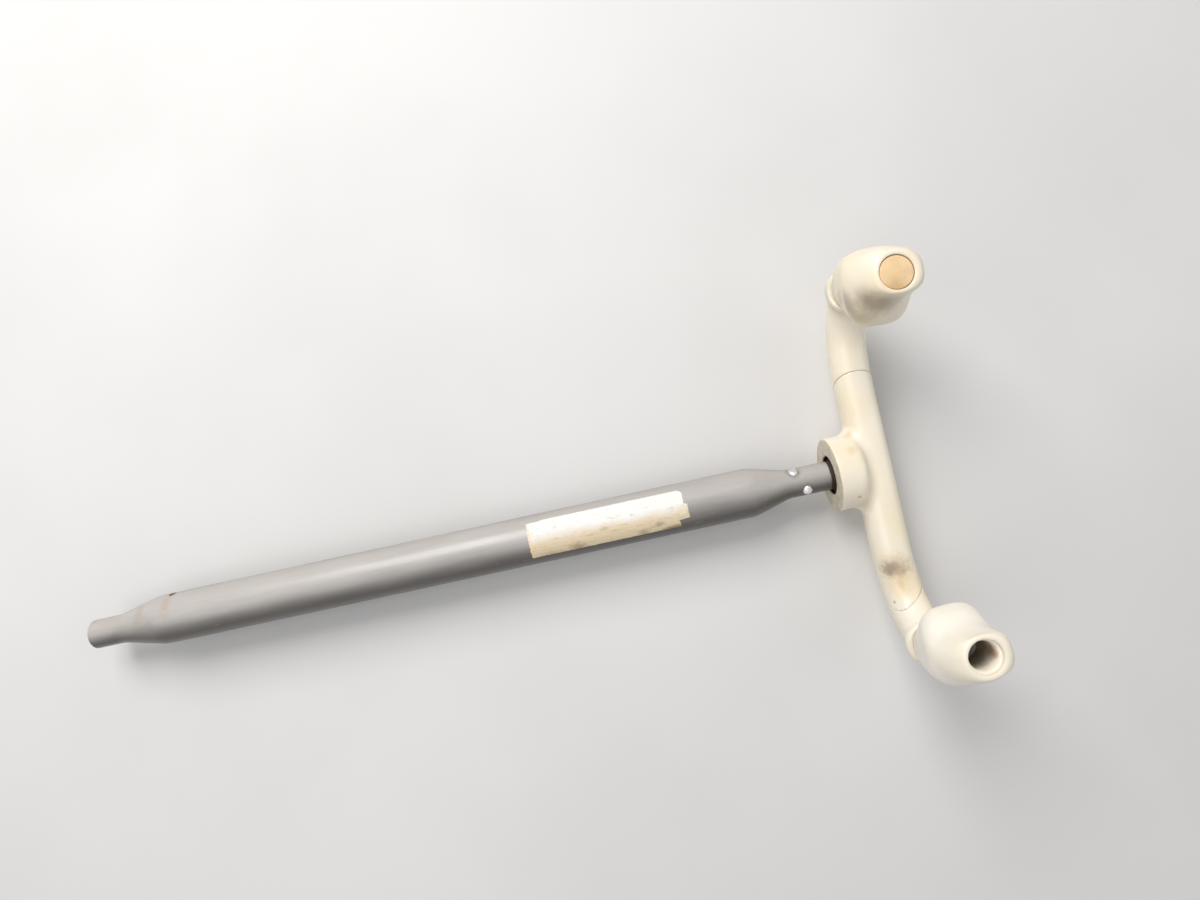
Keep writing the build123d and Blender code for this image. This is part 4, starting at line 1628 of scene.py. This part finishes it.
def main() -> None:
    """Builds and dresses the control wheel, sub-assembly by sub-assembly."""
    logging.basicConfig(level=logging.INFO, format="%(name)s: %(message)s")
    effects = Effects()
    studio = Studio()
    studio.camera()
    studio.floor()
    studio.lights()

    brown = (0.30, 0.17, 0.07)
    casting_stains = (
        Spot((27.5, -604, 10), 6, (0.62, 0.45, 0.24), 0.45, ragged=0.35),
        Spot((16, -600, 23), 6, (0.68, 0.52, 0.30), 0.45, ragged=0.35),
        Spot((28, -602, 12), 2.0, brown, 0.5),
        Spot((-19, -599, 21), 2.2, brown, 0.5),
        Spot((-28, -604, 14), 9, (0.60, 0.46, 0.28), 0.4, (1, 1, 0.7), 0.35),
        Spot((-86, -616, 15), 19, (0.76, 0.60, 0.36), 0.6, (0.7, 1.3, 1), 0.35),
        Spot((-76.5, -614, 14), 15, (0.52, 0.43, 0.31), 0.8, (1.15, 0.75, 1), 0.45),
        Spot((-77.5, -611.5, 14), 9.5, (0.27, 0.21, 0.14), 0.8, (1.2, 0.95, 1), 0.4),
        Spot((-79.5, -620, 15), 6.5, (0.42, 0.33, 0.22), 0.5, (1.2, 0.8, 1), 0.4),
        Spot((-80.4, -620.3, 15.4), 2.0, (0.40, 0.24, 0.11), 0.5, (1, 1, 1), 0.3),
        Spot((-88, -616.3, 15.1), 5, (0.60, 0.41, 0.20), 0.4, (0.6, 1.4, 1), 0.4),
        Spot((-102.6, -609.5, 12.2), 1.6, (0.30, 0.22, 0.14), 0.8, (1, 1, 1), 0.15),
    )
    # Grime and painted shade in the hub's bore, near black just inside its face.
    hub_hole = GrimyShadedHole((0, 0, 0), 15.3, (0.0, 1.0, 0.0), -586.6, -587.6, -606.0,
                          (0.036, 0.011, 0.005), 1.0)
    enamel = PaintedMoulding("ivory_enamel", (0.86, 0.80, 0.68), (0.83, 0.75, 0.60), 0.32,
                             casting_stains, -586.3, holes=(hub_hole,))
    horn_stains_and_shade = (
        # The first entry makes the left horn paler over most of its skin.
        Spot((-123, -630, 70), 75, (0.91, 0.88, 0.81), 0.8, (1, 1, 1), 0.1),
        Spot((123, -610, 44), 9, (0.62, 0.54, 0.38), 0.55),
        Spot((-123, -610, 44), 9, (0.66, 0.56, 0.38), 0.5),
        # Painted shade: the next five darken the right horn's collar bead and the hollow under its
        # barrel on the inboard and tail sides.
        Spot((134, -609, 30), 22, (0.58, 0.545, 0.435), 0.8, (1, 1, 1), 0.1),
        Spot((123, -606, 56), 10, (0.44, 0.40, 0.31), 0.7, (1, 1, 1), 0.15),
        Spot((116, -604, 73), 13, (0.34, 0.29, 0.21), 0.8, (0.9, 1, 1), 0.15),
        Spot((108, -616, 91), 18, (0.37, 0.29, 0.195), 0.8, (1, 0.75, 1), 0.25),
        Spot((104, -606, 76), 13, (0.50, 0.42, 0.30), 0.6, (1, 0.8, 1), 0.25),
        Spot((-125, -636.5, 95), 8, (0.40, 0.21, 0.12), 0.8, (1, 1, 0.7), 0.5),
    )
    # Grime and painted shade that deepen down each horn's socket.
    sockets = tuple(GrimyShadedHole((out, -626.4, 0), 9.95, (0.0, 0.0, 1.0), 103.0, 84.0, 72.0,
                               (0.13, 0.095, 0.06), 0.86) for out in (123.6, -123.6))
    moulding = PaintedMoulding("ivory_moulding", (0.87, 0.80, 0.67), (0.84, 0.75, 0.59), 0.28,
                               horn_stains_and_shade, holes=sockets, rubbed_along=(1.0, 1.0, 0.06))
    tube_marks = (
        # The first two darken the neck round each rivet head; the rest are brown stains towards the
        # tail.
        Spot((8.75, -558, 6.8), 7.6, (0.07, 0.06, 0.05), 0.85, ragged=0.15),
        Spot((-6.8, -565.6, 8.8), 7.2, (0.09, 0.07, 0.055), 0.7, ragged=0.25),
        Spot((12, -67, 14), 12, (0.40, 0.30, 0.22), 0.5, (0.75, 2.2, 0.75), 0.4),
        Spot((9, -44, 13), 11, (0.36, 0.29, 0.23), 0.45, (0.75, 2.0, 0.75), 0.4),
        Spot((8, -18, 8), 9, (0.42, 0.35, 0.29), 0.3, (1, 0.8, 1), 0.5),
    )
    # Painted light and shade: the first two tones are the tube's shaded side and the third its lit
    # side.
    tube_paint = TubePaint("grey_tube_paint", (0.088, 0.078, 0.070), (0.072, 0.064, 0.057),
                           (0.52, 0.49, 0.46), 0.34, (0.62, 0.0, 0.78), -584.4, tube_marks)
    paper_stains = (
        Spot((-11.5, -386, 15.5), 5.5, (0.38, 0.26, 0.15), 0.75, (1, 0.55, 1), 0.6),
        Spot((-13, -366, 13.5), 7.0, (0.50, 0.36, 0.22), 0.6, (1.2, 0.45, 1.2), 0.6),
        Spot((-11.5, -437, 15.5), 4.5, (0.36, 0.27, 0.17), 0.6, (1, 0.6, 1), 0.6),
        Spot((-7.5, -450, 17.5), 3.4, (0.34, 0.26, 0.17), 0.6, (1, 0.6, 1), 0.6),
        Spot((-12.5, -462, 14.0), 9.0, (0.28, 0.19, 0.11), 0.85, (2.2, 0.45, 2.2), 0.5),
        Spot((-3, -474, 18.8), 6.0, (0.70, 0.54, 0.32), 0.7, (0.8, 1.2, 1), 0.4),
        Spot((3, -350, 18.8), 12.0, (0.78, 0.62, 0.38), 0.7, (0.45, 2.6, 0.5), 0.25),
        Spot((-2, -408, 19.0), 2.6, (0.40, 0.34, 0.27), 0.5, (1, 0.5, 1), 0.5),
    )
    paper = AgedPaper("label_paper", (0.80, 0.79, 0.755), (0.74, 0.61, 0.42), paper_stains)
    # Painted shade: the spot browns the talk button's disc towards its inboard edge.
    tan = PlainMoulding("button_plastic", (0.82, 0.61, 0.36), (0.75, 0.53, 0.29), 0.3, 1.2,
                        (Spot((109, -622.5, 107), 15, (0.50, 0.29, 0.12), 0.7, ragged=0.05),))
    bushing = PlainMoulding("bushing_brown", (0.10, 0.035, 0.018), (0.045, 0.018, 0.010), 0.6)
    black = PlainMoulding("switch_plastic", (0.045, 0.04, 0.037), (0.028, 0.025, 0.023), 0.45)
    aluminium = BareMetal("rivet_aluminium", (0.82, 0.82, 0.83), (0.60, 0.60, 0.61), 0.24)
    steel = BareMetal("plain_steel", (0.56, 0.56, 0.57), (0.42, 0.41, 0.40), 0.32, (1.0, 0.2, 1.0))
    brass = BareMetal("contact_brass", (0.80, 0.62, 0.30), (0.58, 0.42, 0.19), 0.3)
    finishes = {f.name: f.make(effects) for f in (enamel, moulding, tube_paint, paper, tan, bushing,
                                                  black, aluminium, steel, brass)}

    column = Column()
    seat(column.tube(), finishes["grey_tube_paint"], Body.YOKE, "tube_paint", "column_tube")
    seat(column.rivets(), finishes["rivet_aluminium"], Body.YOKE, "rivet_aluminium", "neck_rivets")
    seat(column.label(), finishes["label_paper"], Body.YOKE, "label_paper", "label")

    wheel = Wheel(ArmPath())
    seat(wheel.casting(), finishes["ivory_enamel"], Body.YOKE, "wheel_enamel", "wheel_casting")
    seat(wheel.cap(), finishes["ivory_enamel"], Body.YOKE, "wheel_enamel", "hub_cap")
    right_sleeve = wheel.sleeve(wheel.right_seam, "right_arm_moulding")
    left_made = wheel.sleeve(wheel.left_seam, "left_arm_pattern")
    left_sleeve = twin(left_made, "left_arm_moulding")
    bpy.data.objects.remove(left_made)
    seat(right_sleeve, finishes["ivory_moulding"], Body.YOKE, "hand_plastic", "right_arm_sleeve")
    seat(left_sleeve, finishes["ivory_moulding"], Body.YOKE, "hand_plastic", "left_arm_sleeve")
    right_horn = wheel.horn("right_horn_grip")
    left_horn = twin(right_horn, "left_horn_grip")
    seat(right_horn, finishes["ivory_moulding"], Body.YOKE, "hand_plastic", "right_horn")
    seat(left_horn, finishes["ivory_moulding"], Body.YOKE, "hand_plastic", "left_horn")

    seat(TalkButton().cap(), finishes["button_plastic"], Body.BUTTON, "button_plastic",
         "button_cap")

    kept = {
        "plain_steel": ("wheel_spigot", "spigot_key", "hub_washer", "hub_nut", "right_spar",
                        "left_spar", "right_horn_pin", "left_horn_pin", "button_plunger",
                        "return_spring"),
        "bushing_brown": ("hub_bushing",),
        "switch_plastic": ("guide_bush", "switch_body"),
        "contact_brass": ("contact_disc", "switch_terminals"),
    }
    for finish, nodes in kept.items():
        for node in nodes:
            dress(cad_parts[node], finishes[finish])
            log.info("%s: kept from the CAD model in %s", node, finish)


if __name__ == "__main__":
    main()
